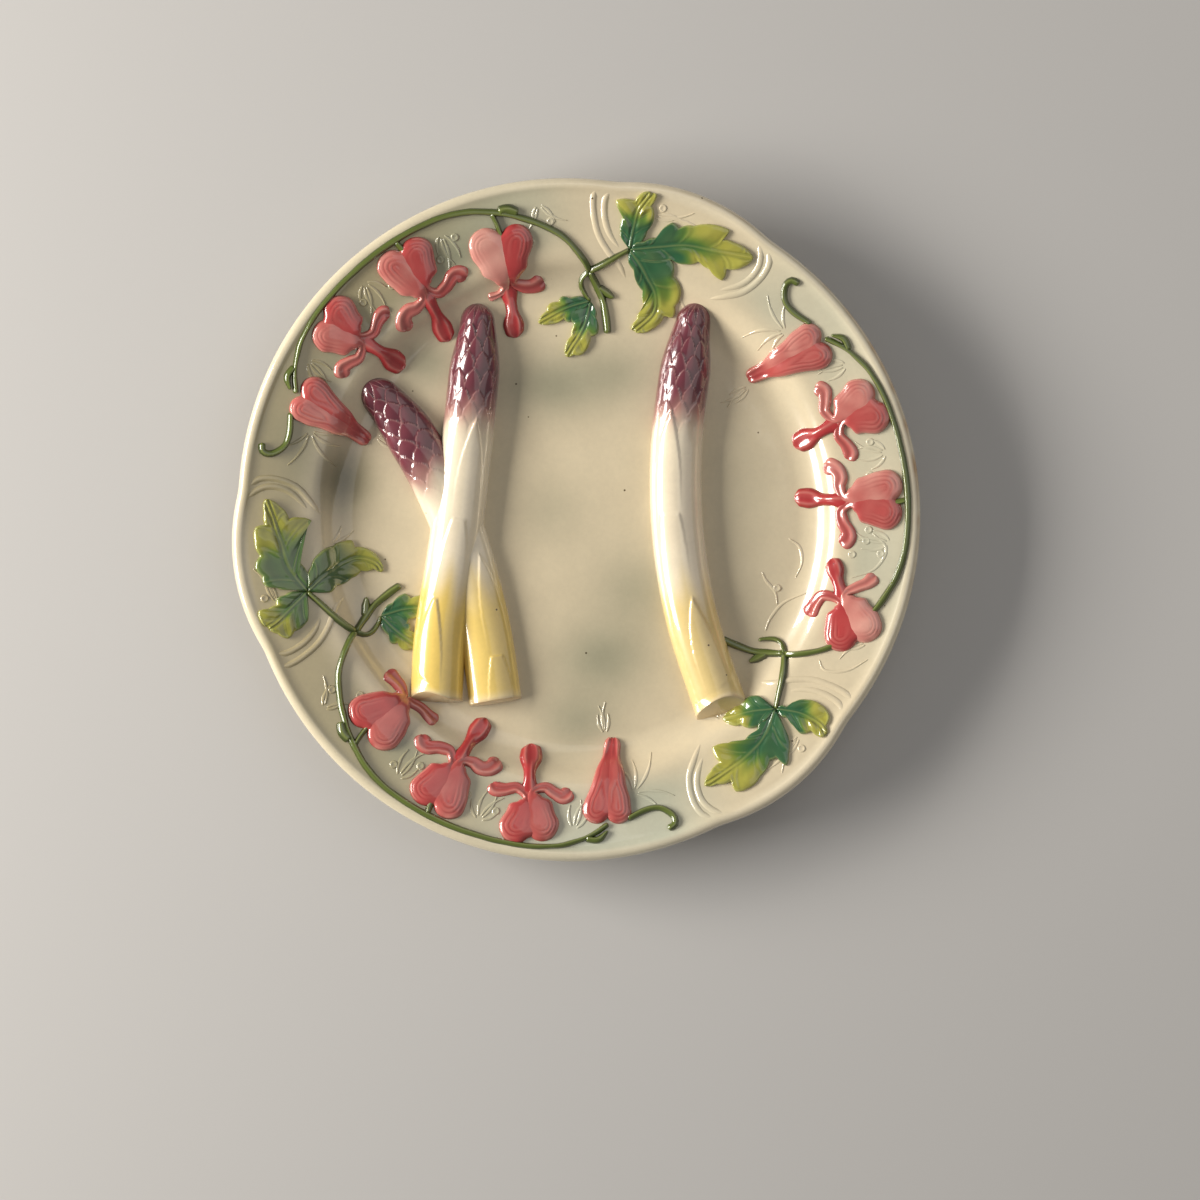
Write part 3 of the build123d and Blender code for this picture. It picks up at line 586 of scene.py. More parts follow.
def add_outer_petal(clay, seat, paleness_and_light, lobe, neck, paleness, spur=(), spur_width=0.0):
    """One half of a heart: a pouch with fine lines round its top and a rolled edge, which narrows to a neck
    and curls back as a ribbon with a hollow along it. In a bud it runs out into a blunt tail instead."""
    forward, left, radius = lobe
    # The garland's paleness, partly painted light, is laid over the petal's own.
    paleness = min(1.0, paleness * paleness_and_light[0] + paleness_and_light[1])
    centre = Vector((forward, left))
    neck = Vector(neck)
    top = centre + (centre - neck).normalized() * radius
    route = Route(placed((top, centre, centre.lerp(neck, 0.55), neck, *spur), seat))
    pouch = radius + (centre - neck).length
    width = stations((0, radius), (radius, radius), (0.45 * radius + 0.55 * pouch, 0.9 * radius),
                     (pouch - 2.5, 0.34 * radius + 1.0), (pouch + 0.5, NECK_HALF_WIDTH),
                     (0.5 * pouch + 0.5 * route.length, 1.1 * spur_width),
                     (route.length + 0.1, 1.5 * spur_width))
    rise = stations((0, HEART_HEIGHT), (pouch - 3, HEART_HEIGHT), (pouch + 3, 1.4), (route.length + 3.1, 0.8))
    tail = pouch
    if not spur:
        tail = BUD_TAIL * pouch
        width = stations((0, radius), (radius, radius), (0.56 * pouch, 0.64 * radius), (tail, 0.36 * radius),
                         (pouch, 0.44 * radius))
        rise = stations((0, HEART_HEIGHT), (0.55 * pouch, HEART_HEIGHT), (pouch, 1.7))
    caps = (radius, 1.2 * spur_width or 1.8 * NECK_HALF_WIDTH)
    outer = 1 if left > neck.y else -1

    def half_width(share, side):
        distance = share * route.length
        joined = smooth(0.5 * radius, 1.3 * radius, distance) * (1 - smooth(tail - 6, pouch - 0.5, distance))
        uneven = 1 + 0.10 * noise.noise(Vector((0.22 * distance + forward, side, left)))
        return width(distance) * uneven + (0.0 if side == outer else OVERLAP * joined)

    def from_edge(distance, across):
        """How far a point of the pouch lies inside its edge."""
        if distance < radius:
            opening = open_share(distance, route.length, caps)
            return radius - hypot(radius - distance, across * radius * opening)
        return (1 - abs(across)) * width(distance)

    def pouch_model(distance, across):
        edge = from_edge(distance, across)
        drift = noise.noise(Vector((forward + 0.2 * distance, left + across, radius)))
        fade = (1 - smooth(0.35 * pouch, 0.8 * pouch, distance)) * smooth(-0.8, 0.2, across * outer)
        fade *= smooth(0.5, 1.0, edge) * (1 - smooth(3.6, 5.4, edge + 1.5 * drift))
        line = bell(abs((edge / RIDGE_SPACING + 0.35 * drift) % 1 - 0.5), 0.17)
        rolled = bell(edge - 0.45, 0.4) * smooth(-0.5, 0.2, across * outer)
        body = mix(RED, PALE_PINK, paleness * (0.8 + 0.5 * drift))
        body = mix(body, RED, 0.6 * smooth(0.5 * pouch, tail, distance) * (1 - 0.7 * paleness))
        body = mix(body, PALE_PINK, 0.16 * fade * (1 - line))
        body = mix(body, DEEP_RED, 0.45 * fade * line * (1 - 0.5 * paleness))
        body = mix(body, DEEP_RED, 0.55 * bell(edge, 0.25) * smooth(-0.5, 0.2, across * outer))
        return 0.2 * rolled - fade * RIDGE_DEPTH * line, mix(body, PALE_PINK, 0.4 * rolled)

    def spur_model(across):
        fold = bell(across - 0.55 * outer, 0.24)
        far_fold = bell(across + 0.75 * outer, 0.2)
        hollow = bell(across + 0.1 * outer, 0.36)
        body = mix(RED, PALE_PINK, (0.15 + 0.5 * paleness) * (1.0 if spur else 0.4))
        body = mix(body, DEEP_RED, 0.4 * hollow + 0.35 * smooth(0.8, 1.0, abs(across)))
        return 0.2 * fold + 0.05 * far_fold - 0.25 * hollow, mix(body, PALE_PINK, 0.4 * fold)

    def model(share, across):
        distance = share * route.length
        pouch_lift, pouch_colour = pouch_model(distance, across)
        spur_lift, spur_colour = spur_model(across)
        on_spur = smooth(tail - 3, tail + 2, distance)
        return pouch_lift + (spur_lift - pouch_lift) * on_spur, mix(pouch_colour, spur_colour, on_spur)

    add_strip(clay, route, half_width, lambda share: rise(share * route.length), model,
              rings=96, segments=52, caps=caps, fullness=2.6)


def add_inner_petal(clay, seat, length, bulb_width):
    """The narrow petal between the spurs, with a webbed root and a raised line round the bulb at its end."""
    places = ((-3.0, 0), (0, 0), (length * 0.45, 0.2), (length * 0.8, -0.1), (length, 0.2))
    route = Route(placed(places, seat))
    width = stations((0, 1.4), (0.2, 3.2), (0.42, 2.2), (0.5, 2.2), (0.76, bulb_width),
                     (0.92, 0.9 * bulb_width), (1, 0.6 * bulb_width))
    rise = stations((0, 1.3), (0.4, 1.6), (0.75, 2.0), (1, 1.4))

    def model(share, across):
        bulb = smooth(0.52, 0.7, share)
        line = bell(abs(across) - 0.55, 0.14) * bulb
        keel = bell(across + 0.2, 0.2) * (1 - 0.8 * bulb)
        body = mix(RED, DEEP_RED, 0.5 * smooth(0.65, 0.98, abs(across)) + 0.3 * bulb * bell(across, 0.35))
        lift = 0.22 * line + 0.15 * keel - 0.2 * bulb * bell(across, 0.35)
        return lift, mix(body, PALE_PINK, 0.35 * line + 0.3 * keel)

    add_strip(clay, route, lambda share, side: width(share), rise, model,
              rings=52, segments=36, caps=(1.2, 2.6), fullness=2.3)


def add_flower(clay, paleness_and_light, seat, petals, inner=None):
    """Two outer petals that make a heart, and one inner petal. A bud shows no inner one, nor does the flower
    beside the spear's end."""
    if inner:
        add_inner_petal(clay, seat, *inner)
    for petal in petals:
        add_outer_petal(clay, seat, paleness_and_light, **petal)


# Leaves

SWEEP = radians(38.0)       # how far the side veins lean towards the tip
LEAVES = {                  # leaflets by heading, midrib and outline, as (forward, left) from the leaf's seat
    "top": dict(
        seat=(78.9, 24.2), shade=0.0,
        leaflets=(
            dict(heading=97.1, midrib=((0, 0), (10, 1.6), (20, 2.8), (32, 1.2), (43.4, 0)),
                 outline=((0, 1.6), (5.3, 3.4), (9.2, 4.7), (14.3, 10.3), (16.9, 8.5), (21.9, 9.6),
                          (34.5, 8.9), (32.2, 5.3), (36.3, 4.8), (43.6, 0), (39.9, -3.7), (34.4, -4.6),
                          (33.2, -8.7), (28.4, -5), (24.7, -2.6), (19.8, -3.9), (15.2, -2.6), (0, -1.6))),
            dict(heading=21.1, midrib=((0, 0), (8, 4), (16, 6.5), (23, 4.5), (28, -3)),
                 outline=((0, 1.6), (3, 8), (6.5, 14.1), (12, 13.6), (17.5, 15.5), (22, 12.6), (25.8, 11.2),
                          (24.5, 8.4), (28.6, 3), (29, -1.6), (27.2, -4.3), (24.1, -1.7), (19.5, 1.8),
                          (14.6, 2.3), (7, 0.4), (0, -1.6))),
            dict(heading=-176.4, midrib=((0, 0), (8, -0.5), (14, -1.5), (20.2, -5)),
                 outline=((0, 1.6), (5.5, 4), (11.1, 3.7), (16.2, 6.9), (16.8, 0.2), (20.2, -2.4),
                          (20.3, -7.2), (15.9, -5.8), (12, -7.2), (7.3, -5.6), (0, -1.6))))),
    "left": dict(
        seat=(75.2, 22.6), shade=0.35,
        leaflets=(
            dict(heading=98.9, midrib=((0, 0), (10.4, 2.5), (19.6, 1.5), (29.1, 0.4), (35.4, 0)),
                 outline=((0, 1.6), (2.3, 3.9), (5.5, 9.1), (7.6, 12.4), (11.4, 12), (15.1, 13), (18, 9.7),
                          (23.4, 9.5), (27.8, 7.1), (27.2, 3.8), (31.2, 2.5), (35.6, 0), (31.2, -3.5),
                          (25.9, -4.6), (24.7, -8.3), (21.9, -11.6), (16.5, -6), (10.6, -1.9), (0, -1.6))),
            dict(heading=-0.6, midrib=((0, 0), (9.6, 5.2), (18.4, 7.1), (24.8, 4.5), (27, 0.4)),
                 outline=((0, 1.6), (3.6, 8.4), (7.3, 12.1), (12.3, 13.4), (16.1, 14.1), (19.4, 13.6),
                          (19.4, 11.2), (24.5, 8.8), (27.2, 4.3), (27.1, 0), (24.2, 1.9), (19.6, 2.4),
                          (15.7, 0.8), (9.6, -0.5), (7.7, -2.3), (0, -1.6))),
            dict(heading=-142.4, midrib=((0, 0), (7.7, -1.1), (14.4, -1.8), (18.1, -3)),
                 outline=((0, 1.6), (5.4, 5.3), (9.1, 6.4), (13.7, 4.9), (16.9, 4.8), (17.8, 0.9),
                          (18.3, -2.4), (17.7, -6.9), (15.5, -9.3), (13, -7.1), (10.2, -5.6), (8.1, -6.9),
                          (5.9, -5.6), (0, -1.6))))),
    "right": dict(
        seat=(76.3, 23.8), shade=0.0,
        leaflets=(
            dict(heading=90.7, midrib=((0, 0), (10.7, 3.9), (22.1, 3.5), (32.9, 1.3), (36.5, 0)),
                 outline=((0, 2.9), (3, 7.8), (8.6, 14.2), (12, 16.2), (12, 11.9), (14.5, 10.7), (20.9, 12),
                          (27, 11.7), (30.6, 9.3), (28.9, 5.8), (33.2, 2.9), (36.7, 0), (31.7, -1.7),
                          (27, -1.5), (25, -7), (20.4, -4.2), (15.6, -0.5), (10.2, 0.4), (0, -1.6))),
            dict(heading=56.1, midrib=((0, 0), (7.5, -0.6), (15.4, 0), (18.6, 0)),
                 outline=((0, 1.6), (6, 3.9), (9.3, 4.9), (12.9, 3), (16.4, 2.3), (18.7, 0), (14.2, -2.8),
                          (9.1, -5.4), (6.4, -5.8), (3.1, -4.5), (0, -1.6))),
            dict(heading=-156.6, midrib=((0, 0), (8.5, 1.6), (16, 0.6), (19.6, -1.8)),
                 outline=((0, 1.6), (3.5, 2), (5.6, 5), (9.2, 6.9), (13.9, 7), (18.5, 4.2), (18.4, 0.7),
                          (19.9, -2.1), (18.2, -3.8), (14.2, -2.9), (11.4, -5.1), (8.2, -3.5), (4.8, -1.5),
                          (0, -1.6))))),
}
SMALL_LEAF = dict(
    seat=(86.3, 43.3), shade=0.0,
    leaflets=(
        dict(heading=-64.3, midrib=((0, 0), (9, -0.8), (20, 0.3)),
             outline=((0, 1.4), (7, 1.8), (9.8, 4.2), (11.2, 2.4), (16, 2.4), (20.2, 0.3), (15.7, -2.6),
                      (13.7, -4.6), (10.6, -3.9), (8.9, -5.4), (6.5, -3.8), (0, -1.4))),
        dict(heading=-16.3, midrib=((0, 0), (10, 0.8), (21.3, -1.4)),
             outline=((0, 1.4), (5, 3.9), (9.7, 6.4), (11.7, 4.4), (18.5, 3.9), (19.9, 1.2), (21.5, -1.4),
                      (18.2, -3), (13.8, -2.2), (9.6, -2.8), (7.8, -5.6), (4.8, -3.4), (0, -1.4)))))
LEAF_BULGE = 0.10           # swell of a leaf's edge between two points, as a share of its length
LEAF_EDGE_STEPS = 5
LEAF_HEIGHT = 1.35
LEAF_VEINS = 4              # side veins on each side of a leaflet
RIB_WIDTH = 0.34
GROOVE_PLACE = 0.95         # of the groove along a midrib, from its middle
GROOVE_WIDTH = 0.42
REACH_STEPS = 160           # places along a midrib at which a leaflet's width is measured


def swollen(corners):
    """A leaf's edge through its corners, each side swelling outwards a little."""
    line = []
    for start, end in zip(corners, corners[1:] + corners[:1]):
        side = end - start
        outwards = Vector((-side.y, side.x)) * 4 * LEAF_BULGE
        for step in range(LEAF_EDGE_STEPS):
            share = step / LEAF_EDGE_STEPS
            line.append(start + side * share + outwards * share * (1 - share))
    return line


def distance_to(line, place, way):
    """How far a closed line lies from a place inside it, along a way."""
    distances = []
    for start, end in zip(line, line[1:] + line[:1]):
        side = end - start
        turn = way.cross(side)
        if turn:
            away = (start - place).cross(side) / turn
            if away > 0 and 0 <= (start - place).cross(way) / turn <= 1:
                distances.append(away)
    return min(distances)


def vein_lengths(route, edge):
    """The length of a leaflet's side veins, by share of the midrib and by side."""
    lengths = {1: [], -1: []}
    for step in range(REACH_STEPS + 1):
        middle, way = route.at(route.length * step / REACH_STEPS)
        for side in lengths:
            vein = Vector((-way.y, way.x)) * side * cos(SWEEP) + way * sin(SWEEP)
            lengths[side].append(distance_to(edge, middle, vein))

    def length(share, side):
        place = share * REACH_STEPS
        index = min(int(place), REACH_STEPS - 1)
        near, far = lengths[side][index:index + 2]
        return near + (far - near) * (place - index)

    return length


def add_leaflet(clay, seat, shade, heading, midrib, outline):
    """A lobed leaflet: swollen between its fine raised veins, with a raised, paler edge."""
    route = Route(placed(midrib, (*seat, heading)))
    reach = vein_lengths(route, swollen(placed(outline, (*seat, heading))))

    def model(share, across):
        width = reach(share, 1 if across > 0 else -1)
        outwards = width * abs(across)
        vein = share * LEAF_VEINS + (0.5 if across > 0 else 0.1) - 0.12 * sin(pi * abs(across))
        between = abs(vein - floor(vein + 0.5)) * 2
        out = smooth(0.4, 2.2, outwards)
        rib = bell(outwards, RIB_WIDTH)
        groove = bell(outwards - GROOVE_PLACE, GROOVE_WIDTH)
        side_vein = bell(between, 0.07) * out * (1 - 0.5 * abs(across))
        side_groove = bell(between - 0.2, 0.12) * out
        lip = smooth(width - 1.1, width - 0.35, outwards) * out
        crumple = noise.noise(Vector((share * 5, across * 1.8, route.length)))
        lift = (0.30 * between + 0.55 * crumple) * out * (1 - 0.6 * lip) - 0.3 * groove + 0.1 * rib
        lift += 0.14 * side_vein - 0.10 * side_groove + 0.18 * lip
        tip = smooth(0.22, 0.95, share + 0.42 * abs(across) * smooth(0.15, 0.5, share) + 0.16 * crumple)
        body = mix(mix(TEAL, GREEN, smooth(0.05, 0.5, tip)), LIME, smooth(0.35, 0.95, tip))
        body = mix(body, OLIVE, shade)
        body = mix(body, TEAL, (0.35 * groove + 0.2 * side_groove) * (1 - 0.3 * tip))
        body = mix(body, VEIN, 0.2 * rib + 0.2 * side_vein + 0.10 * between * out * (0.6 + crumple))
        return lift, mix(body, VEIN, 0.3 * lip)

    add_strip(clay, route, reach, lambda share: LEAF_HEIGHT, model, rings=max(70, int(3.2 * route.length)),
              segments=52, caps=(1.2, 0.8), fullness=5.0, sweep=SWEEP)


def add_leaf(clay, seat, shade, leaflets):
    for leaflet in leaflets:
        add_leaflet(clay, seat, shade, **leaflet)


# Stems, twigs, tendrils, scrolls and the fine lines of the ground

# Lines of a garland, as (angle, inset from the edge) points. The twig's are (forward, left) from its seat.
STEM = ((87, 32.9), (88.7, 29), (91.8, 23), (95.6, 18), (99.8, 14), (104.3, 10.2), (110, 6.6), (116, 4.9),
        (124, 4.4), (132, 4.4), (140, 4.6), (146, 5.6), (150, 7.6), (153, 9.8), (156, 13))
LEAF_STALK = ((87, 32.9), (83.6, 30))    # ends at the leaf's seat
FLOWER_1_STALK = ((105.6, 9.4), (105.1, 14), (104.9, 20))
FLOWER_2_STALK = ((123.2, 4.6), (122.9, 8), (122.8, 12))
KNOT = ((104.4, 9.6), (102.6, 9.6), (100.7, 11.4))
BRACT = ((151.6, 8.4), (153.9, 7.9), (155.8, 10.6))
TENDRIL = ((159.6, 13.8), (163.3, 15.6), (166.2, 15), (168, 11.6), (167.9, 8.4), (166.4, 7.4))
TWIG_SEAT = (90, 33, 0)
TWIG = ((0, 4.5), (5, 7), (11, 9.5), (17, 10.5), (22, 10.8))
TWIG_LEAF = ((5.5, 7.5), (8, 11), (9.5, 13.2))
LOOP = ((0, 4.5), (2.5, 2), (5.5, 1.7), (9, 3.5), (10.5, 5))
SCROLLS = (
    ((56, 2.8), (54.7, 4.6), (52.9, 8.8), (52.5, 14.8), (53.5, 21.5), (56, 26.4), (59.4, 31)),
    ((57.6, 3.6), (55.6, 6.6), (54.2, 11.2), (54.1, 16.2), (55.2, 21), (58.4, 26.6)),
    ((86, 2.8), (86.9, 6.6), (86.9, 12.1), (85.8, 19.8), (83.4, 25.8), (80.5, 29.9), (78, 35)),
    ((83.4, 3.6), (84.8, 7.9), (84.7, 14.2), (83.3, 20.2), (80.6, 25)),
)
STEM_HALF_WIDTH = 1.2
STEM_HEIGHT = 1.5
STEM_SWELL = 0.22           # how much a green line swells and thins
SCROLL_HALF_WIDTH = 1.35
SCROLL_HEIGHT = 0.42
BLADES = (                  # fans of fine blades in the ground: seat, then (turn, length, bend) of each blade
    ((132.0, 9.5, 0), ((-78, 8, 30), (-44, 11, 26), (-8, 12, -24), (28, 11, -28), (66, 8, -30))),
    ((115.5, 10.0, 6), ((-66, 8, 30), (-30, 12, 24), (4, 15, -26), (38, 11, -30))),
    ((149.5, 11.5, -8), ((-60, 8, 28), (-28, 11, 24), (10, 12, -26), (44, 9, -28))),
    ((97.0, 9.5, 10), ((-54, 8, 28), (-16, 11, -24), (18, 12, 26), (54, 9, -28))),
    ((76.0, 11.5, 96), ((-24, 9, 26), (-8, 15, 20), (8, 20, -16), (24, 12, -26))),
    ((66.0, 33.0, 10), ((-24, 8, -20), (0, 10, 16), (24, 8, 20))),
    ((161.5, 22.0, -70), ((-34, 11, -26), (-12, 15, -22), (10, 16, 24), (32, 12, 28), (54, 9, 28))),
    ((157.5, 43.5, 0), ((-36, 8, 22), (-12, 11, 18), (10, 12, -18), (34, 8, -22))),
)
BERRIES = ((128.4, 16.5), (117.8, 18.0), (113.4, 13.2), (145.6, 13.5), (134.6, 14.2), (95.0, 16.0),
           (74.4, 7.9), (99.2, 22.5))
ARCS = (                    # fine curls that take the place of the small leaf in the right garland
    ((89.1, 43), (92.8, 43.6), (98, 41.6), (102.2, 35.3)),
    ((104.2, 52.5), (102, 50.1), (99.9, 45.9), (96.8, 43.4)),
    ((114.8, 45.4), (112.9, 41.2), (109, 39.5), (104.8, 40.6)),
    ((117.2, 16.6), (114.4, 11.5), (110.4, 14.5), (107.7, 22.3)),
    ((89.9, 22.3), (88.6, 18.3), (90.8, 11.6), (94.3, 7.1)),
)
ARC_BERRIES = ((101, 45.6), (115.6, 18.6), (112.6, 23.0))
BLADE_HALF_WIDTH = 0.95
BLADE_HEIGHT = 0.26
BLADE_POINTS = (0.12, 0.4, 0.7, 1.0)    # points along a blade, as shares of its length
BERRY_RADIUS = 1.6
BERRY_HEIGHT = 0.3


def stem_model(share, across):
    """Green glaze with a low ridge beside its crown that bears a painted highlight, darker along its edges.
    """
    # Painted highlight: a pale streak on a low ridge beside the crown.
    ridge_and_highlight = bell(across - 0.3, 0.25)
    body = mix(STEM_GREEN, STEM_DARK, 0.9 * smooth(0.3, 0.9, abs(across + 0.15)))
    return 0.15 * ridge_and_highlight, mix(body, STEM_HIGHLIGHT, 0.5 * ridge_and_highlight)


def add_stem_line(clay, points, half_width=STEM_HALF_WIDTH, height=STEM_HEIGHT, end=0.8):
    """A green line that swells and thins a little, as if drawn by hand."""
    route = Route(points)
    taper = stations((0, half_width), (0.5, half_width * 1.05), (1, half_width * end))

    def width(share, side):
        drift = noise.noise(Vector((share * route.length * 0.16, side, half_width)))
        return taper(share) * (1 + STEM_SWELL * drift)

    add_strip(clay, route, width, lambda share: height, stem_model, rings=max(24, int(route.length * 1.1)),
              segments=18, caps=(1.0, 0.8))


def add_stem(clay, garland):
    """The stem with its stalks. The flower that lies across it in the right garland has no stalk or knot."""
    for points in (STEM, (*LEAF_STALK, LEAVES[garland]["seat"]), FLOWER_2_STALK):
        add_stem_line(clay, along_rim(points))
    add_stem_line(clay, along_rim(BRACT), half_width=1.2, end=0.5)
    if garland != "right":
        add_stem_line(clay, along_rim(FLOWER_1_STALK), half_width=1.0)
        add_stem_line(clay, along_rim(KNOT), half_width=1.9, height=1.9)


def add_twig(clay):
    add_stem_line(clay, placed(TWIG, TWIG_SEAT), half_width=1.35, end=1.0)
    add_stem_line(clay, placed(TWIG_LEAF, TWIG_SEAT), half_width=1.6, end=0.5)
    add_stem_line(clay, placed(LOOP, TWIG_SEAT), half_width=1.0)


def add_tendril(clay):
    add_stem_line(clay, along_rim(TENDRIL), half_width=1.15, end=1.15)


def ground_model(share, across):
    """Plain clay, which gets the plate's own colours when it is finished."""
    return 0.0, CREAM


def add_scroll(clay):
    for points in SCROLLS:
        add_strip(clay, Route(along_rim(points)), lambda share, side: SCROLL_HALF_WIDTH,
                  lambda share: SCROLL_HEIGHT, ground_model,
                  rings=64, segments=16, caps=(6.0, 11.0), fullness=1.7)


def add_berry(clay, angle, inset):
    """A small round berry with a raised ring and a hollow middle."""
    ends = placed(((-BERRY_RADIUS, 0), (BERRY_RADIUS, 0)), (angle, inset, 0))

    def ring(share, across):
        opening = open_share(2 * BERRY_RADIUS * share, 2 * BERRY_RADIUS, (BERRY_RADIUS, BERRY_RADIUS))
        spread = hypot(2 * share - 1, across * opening)
        return 0.25 * bell(spread - 0.72, 0.22) - 0.2 * bell(spread, 0.4), CREAM

    add_strip(clay, Route(ends), lambda share, side: BERRY_RADIUS, lambda share: BERRY_HEIGHT, ring,
              rings=16, segments=20, caps=(BERRY_RADIUS, BERRY_RADIUS))


def add_tracery(clay, garland):
    """Fans of fine blades, curls and small berries, low in the ground between the flowers."""
    lines = [along_rim(arc) for arc in ARCS] if garland == "right" else []
    berries = BERRIES + ARC_BERRIES if garland == "right" else BERRIES
    for seat, blades in BLADES:
        for turn, length, bend in blades:
            steps = [(length * share, radians(turn + bend * share)) for share in BLADE_POINTS]
            lines.append(placed([(reach * cos(angle), reach * sin(angle)) for reach, angle in steps], seat))
    width = stations((0, 0.5 * BLADE_HALF_WIDTH), (0.4, BLADE_HALF_WIDTH), (1, 0.3 * BLADE_HALF_WIDTH))
    for line in lines:
        add_strip(clay, Route(line), lambda share, side: width(share), lambda share: BLADE_HEIGHT,
                  ground_model, rings=22, segments=12, caps=(0.9, 0.7), fullness=1.6)
    for place in berries:
        add_berry(clay, *place)


# Asparagus

# A spear has its line from tip to cut end, its half-width at the tip, bracts as (apex from the tip, turn from
# the crown), the spread and pitch of its scales, and where its yellow begins and how strong it is.
SPEARS = {
    "front": dict(
        line=((-34.5, 75.6), (-35.3, 58), (-38.2, 30), (-43, -10), (-47.8, -40), (-49.2, -64.3)), height=8.4,
        head=5.6, bracts=((40, 18), (69, 4), (103, -22)), scales=(35.0, 5.9), yellow=(90, 0.85), lean=0.8),
    "right": dict(
        line=((42, 75.5), (38.5, 55), (35, 25), (35.5, -5), (40.5, -35), (51.3, -68.3)), height=8.4,
        head=5.6, bracts=((38, -20), (62, -16), (104, 9)), scales=(35.0, 5.9), yellow=(92, 0.6), lean=1.0),
    "rear": dict(
        line=((-73, 48), (-58, 29), (-43, 0), (-33, -35), (-28.3, -65)), height=6.2,
        head=6.4, bracts=((71, 30), (100, 18)), scales=(50.0, 4.8), yellow=(72, 0.8), lean=0.8),
}
SPEAR_HALF_WIDTH = 9.3
HEAD_LENGTH = 26.0
SCALES_END = 46.0           # from the tip to the last row of scales
SCALE_REACH = 2.5           # length of a scale, as rows
SCALE_HALF_WIDTH = 0.56     # as a share of the spread
SCALE_LIFT = 1.0
SCALE_FADE = (36, 52)       # from the tip, where the scales sink into the stalk
PURPLE_FADE = (24, 52)      # from the tip, where the purple gives way to the stalk's colour
YELLOW_FADE = 18            # length over which the yellow comes in
CUT_EDGE = (2.2, 1.0)       # from the cut end, where its brown comes in
BRACT_LENGTH = 36.0
BRACT_HALF_ANGLE = 31.0


def scale_under(distance, around, spread, pitch, seed):
    """The scale of the head that shows at a distance from the tip and an angle from the crown: how far the
    place is down from its apex, as a share, and how far inside its edge."""
    row = floor(distance / pitch)
    for lower in range(min(row + 1, int(SCALES_END / pitch)), row - 4, -1):
        column = around / spread + 0.5 * (lower % 2)
        wander = noise.noise(Vector((lower * 3.1, floor(column + 0.5) * 2.3, seed)))
        down = (distance / pitch - lower - 0.3 * wander) / SCALE_REACH
        if not 0 < down < 1:
            continue
        aside = abs((column + 0.5) % 1 - 0.5 + 0.1 * wander)
        inside = SCALE_HALF_WIDTH * sin(pi / 2 * min(1.0, down / 0.5)) ** 0.6 - aside
        if inside > 0:
            return down, inside
    return None


def bract_under(distance, around, bracts):
    """The long bract that shows at a place on the stalk, in the same way."""
    for apex, turn in bracts:
        down = (distance - apex) / BRACT_LENGTH
        if 0 < down < 1:
            inside = sin(pi / 2 * min(1.0, down / 0.7)) ** 0.85 - abs(around - turn) / BRACT_HALF_ANGLE
            if inside > 0:
                return down, inside
    return None


def add_spear(clay, line, height, head, bracts, scales, yellow, lean):
    """A spear with overlapping scales on its purple head, long bracts on its pale stalk and a yellow base."""
    route = Route(line)
    seed = line[0][0]
    growth = stations((0, head), (HEAD_LENGTH / route.length, SPEAR_HALF_WIDTH * 0.97), (1, SPEAR_HALF_WIDTH))

    def model(share, across):
        distance = share * route.length
        around = 90 - degrees(acos(min(max(across, -1.0), 1.0)))
        drift = noise.noise(Vector((distance * 0.06, around * 0.03, height)))
        purple = 1 - smooth(*PURPLE_FADE, distance + 6 * drift)
        golden = yellow[1] * smooth(yellow[0], yellow[0] + YELLOW_FADE, distance + 6 * drift)
        golden *= 1 - 0.4 * smooth(route.length - 5, route.length - 1, distance)
        body = mix(mix(STALK, BLUSH, smooth(0.0, 0.5, purple)), PURPLE, smooth(0.2, 0.9, purple))
        body = mix(mix(body, PLUM, purple * 0.35 * (0.5 + drift)), YELLOW, golden)
        lift = 0.10 * cos(radians(around * 5))
        scale = scale_under(distance, around, *scales, seed)
        fade = 1 - smooth(*SCALE_FADE, distance)
        if scale and fade > 0:
            down, inside = scale
            edge = bell(inside, 0.06)
            lift += fade * (SCALE_LIFT * (1 - down) + 0.2 * edge + 0.9 * inside * (1 - inside))
            # Painted shade: each scale is painted darker towards its root.
            body = mix(body, PLUM, 0.7 * purple * smooth(0.15, 0.6, down))
            body = mix(body, SCALE_EDGE, fade * 0.4 * edge)
        bract = bract_under(distance, around, bracts)
        if bract:
            down, inside = bract
            edge = bell(inside, 0.09) * (1 - down)
            lift += 0.75 * (1 - down) ** 1.5 * smooth(0.0, 0.15, inside) + 0.4 * edge
            body = mix(body, STALK, 0.35 * edge)
        cut = smooth(route.length - CUT_EDGE[0], route.length - CUT_EDGE[1], distance)
        return lift, mix(body, CUT_END, 0.8 * cut)

    add_strip(clay, route, lambda share, side: growth(share),
              lambda share: height * growth(share) / SPEAR_HALF_WIDTH, model,
              rings=330, segments=92, caps=(head, 1.0), fullness=2.15, lean=lean)


# All pieces

def dress(name, material, slot, add, *sizes, turn=0.0, replaces=True, **named):
    """Models a piece by its own function and finishes it."""
    clay = new_clay()
    add(clay, *sizes, **named)
    finish_piece(clay, name, material, turn, replaces)


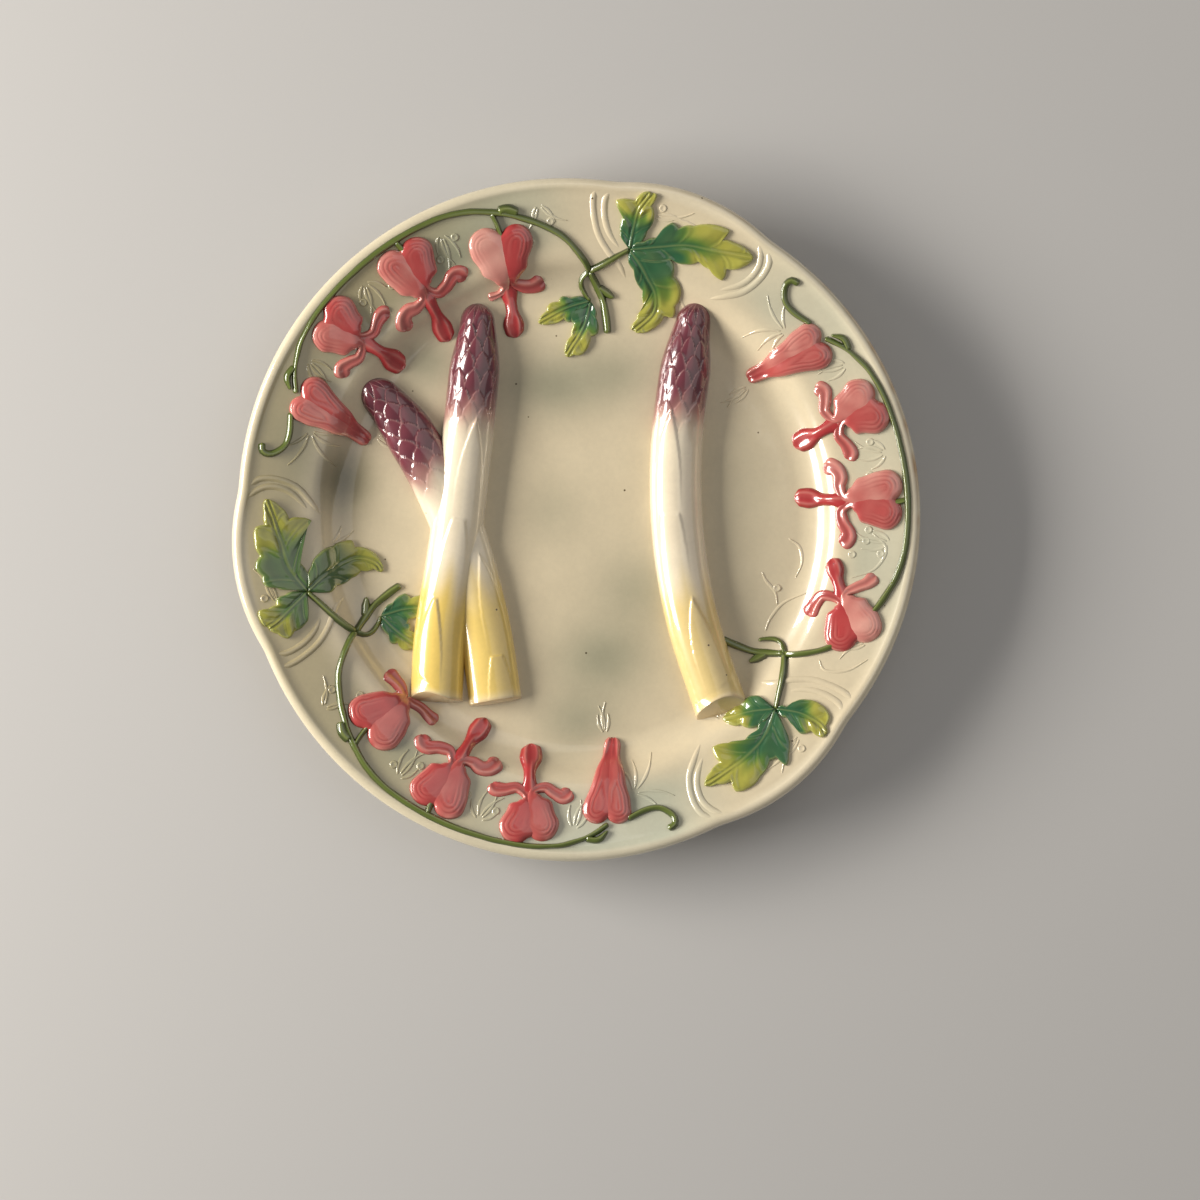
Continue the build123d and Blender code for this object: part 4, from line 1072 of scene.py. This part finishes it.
dress("plate_body", CREAM_GLAZE, "cream_glaze", add_plate)
for name, sizes in SPEARS.items():
    dress(f"spear_{name}", ASPARAGUS_GLAZE, "asparagus_glaze", add_spear, **sizes)
for count, garland in enumerate(GARLANDS):
    turn = count * GARLAND_TURN
    paleness_and_light = PALENESS_AND_LIGHT[garland]
    if garland != "right":
        dress(f"small_leaf_{garland}", LEAF_GLAZE, "leaf_glaze", add_leaf, turn=turn, **SMALL_LEAF)
    for name, sizes in {"flower_1": FIRST_FLOWERS[garland], **FLOWERS, "bud": BUD}.items():
        dress(f"{name}_{garland}", PINK_GLAZE, "pink_glaze", add_flower, paleness_and_light, turn=turn, **sizes)
    dress(f"leaf_{garland}", LEAF_GLAZE, "leaf_glaze", add_leaf, turn=turn, **LEAVES[garland])
    dress(f"stem_{garland}", STEM_GLAZE, "stem_glaze", add_stem, garland, turn=turn)
    dress(f"twig_{garland}", STEM_GLAZE, "stem_glaze", add_twig, turn=turn)
    dress(f"tendril_{garland}", STEM_GLAZE, "stem_glaze", add_tendril, turn=turn)
    dress(f"scroll_{garland}", CREAM_GLAZE, "cream_glaze", add_scroll, turn=turn)
    dress(f"tracery_{garland}", CREAM_GLAZE, "cream_glaze", add_tracery, garland, turn=turn, replaces=False)


# Floor, light and camera, in metres

FLOOR_SIZE = 3.0
FLOOR_PAINT = (0.56, 0.55, 0.54, 1.0)
FLOOR_ROUGHNESS = 0.7
ROOM_TONE = (1.0, 0.98, 0.95, 1.0)
ROOM_LIGHT = 0.16
VIEW_MIDDLE = Vector((0.0082, -0.0284, 0.020))
VIEW_WIDTH = 0.4185         # of the picture, at the height of the rim
VIEW_DISTANCE = 1.6
SENSOR = 36.0


def lay_floor():
    sheet = bmesh.new()
    bmesh.ops.create_grid(sheet, x_segments=1, y_segments=1, size=FLOOR_SIZE)
    mesh = bpy.data.meshes.new("floor")
    sheet.to_mesh(mesh)
    sheet.free()
    paint = bpy.data.materials.new("pale_floor")
    paint.use_nodes = True
    shader = paint.node_tree.nodes["Principled BSDF"]
    shader.inputs["Base Color"].default_value = FLOOR_PAINT
    shader.inputs["Roughness"].default_value = FLOOR_ROUGHNESS
    mesh.materials.append(paint)
    floor_piece = bpy.data.objects.new("floor", mesh)
    bpy.context.scene.collection.objects.link(floor_piece)


def hang_light(name, place, target, width, depth, power, tone):
    light = bpy.data.lights.new(name, "AREA")
    light.shape = "RECTANGLE"
    light.size = width
    light.size_y = depth
    light.energy = power
    light.color = tone
    lamp = bpy.data.objects.new(name, light)
    lamp.location = place
    lamp.rotation_euler = (Vector(target) - Vector(place)).to_track_quat("-Z", "Y").to_euler()
    bpy.context.scene.collection.objects.link(lamp)


def light_room():
    world = bpy.data.worlds.new("room")
    world.use_nodes = True
    background = world.node_tree.nodes["Background"]
    background.inputs["Color"].default_value = ROOM_TONE
    background.inputs["Strength"].default_value = ROOM_LIGHT
    bpy.context.scene.world = world


def set_camera():
    view = bpy.data.cameras.new("view")
    view.sensor_width = SENSOR
    view.lens = SENSOR * VIEW_DISTANCE / VIEW_WIDTH
    camera = bpy.data.objects.new("camera", view)
    camera.location = VIEW_MIDDLE + Vector((0, 0, VIEW_DISTANCE))
    bpy.context.scene.collection.objects.link(camera)
    bpy.context.scene.camera = camera


lay_floor()
hang_light("window", place=(-1.25, 0.10, 0.56), target=(0.0, 0.0, 0.015), width=1.0, depth=0.46, power=31.0,
           tone=(1.0, 0.955, 0.885))
hang_light("bounce", place=(0.55, 0.30, 0.90), target=(0.0, 0.0, 0.0), width=1.2, depth=1.2, power=2.8,
           tone=(1.0, 0.97, 0.93))
light_room()
bpy.context.scene.view_settings.view_transform = "Standard"
set_camera()
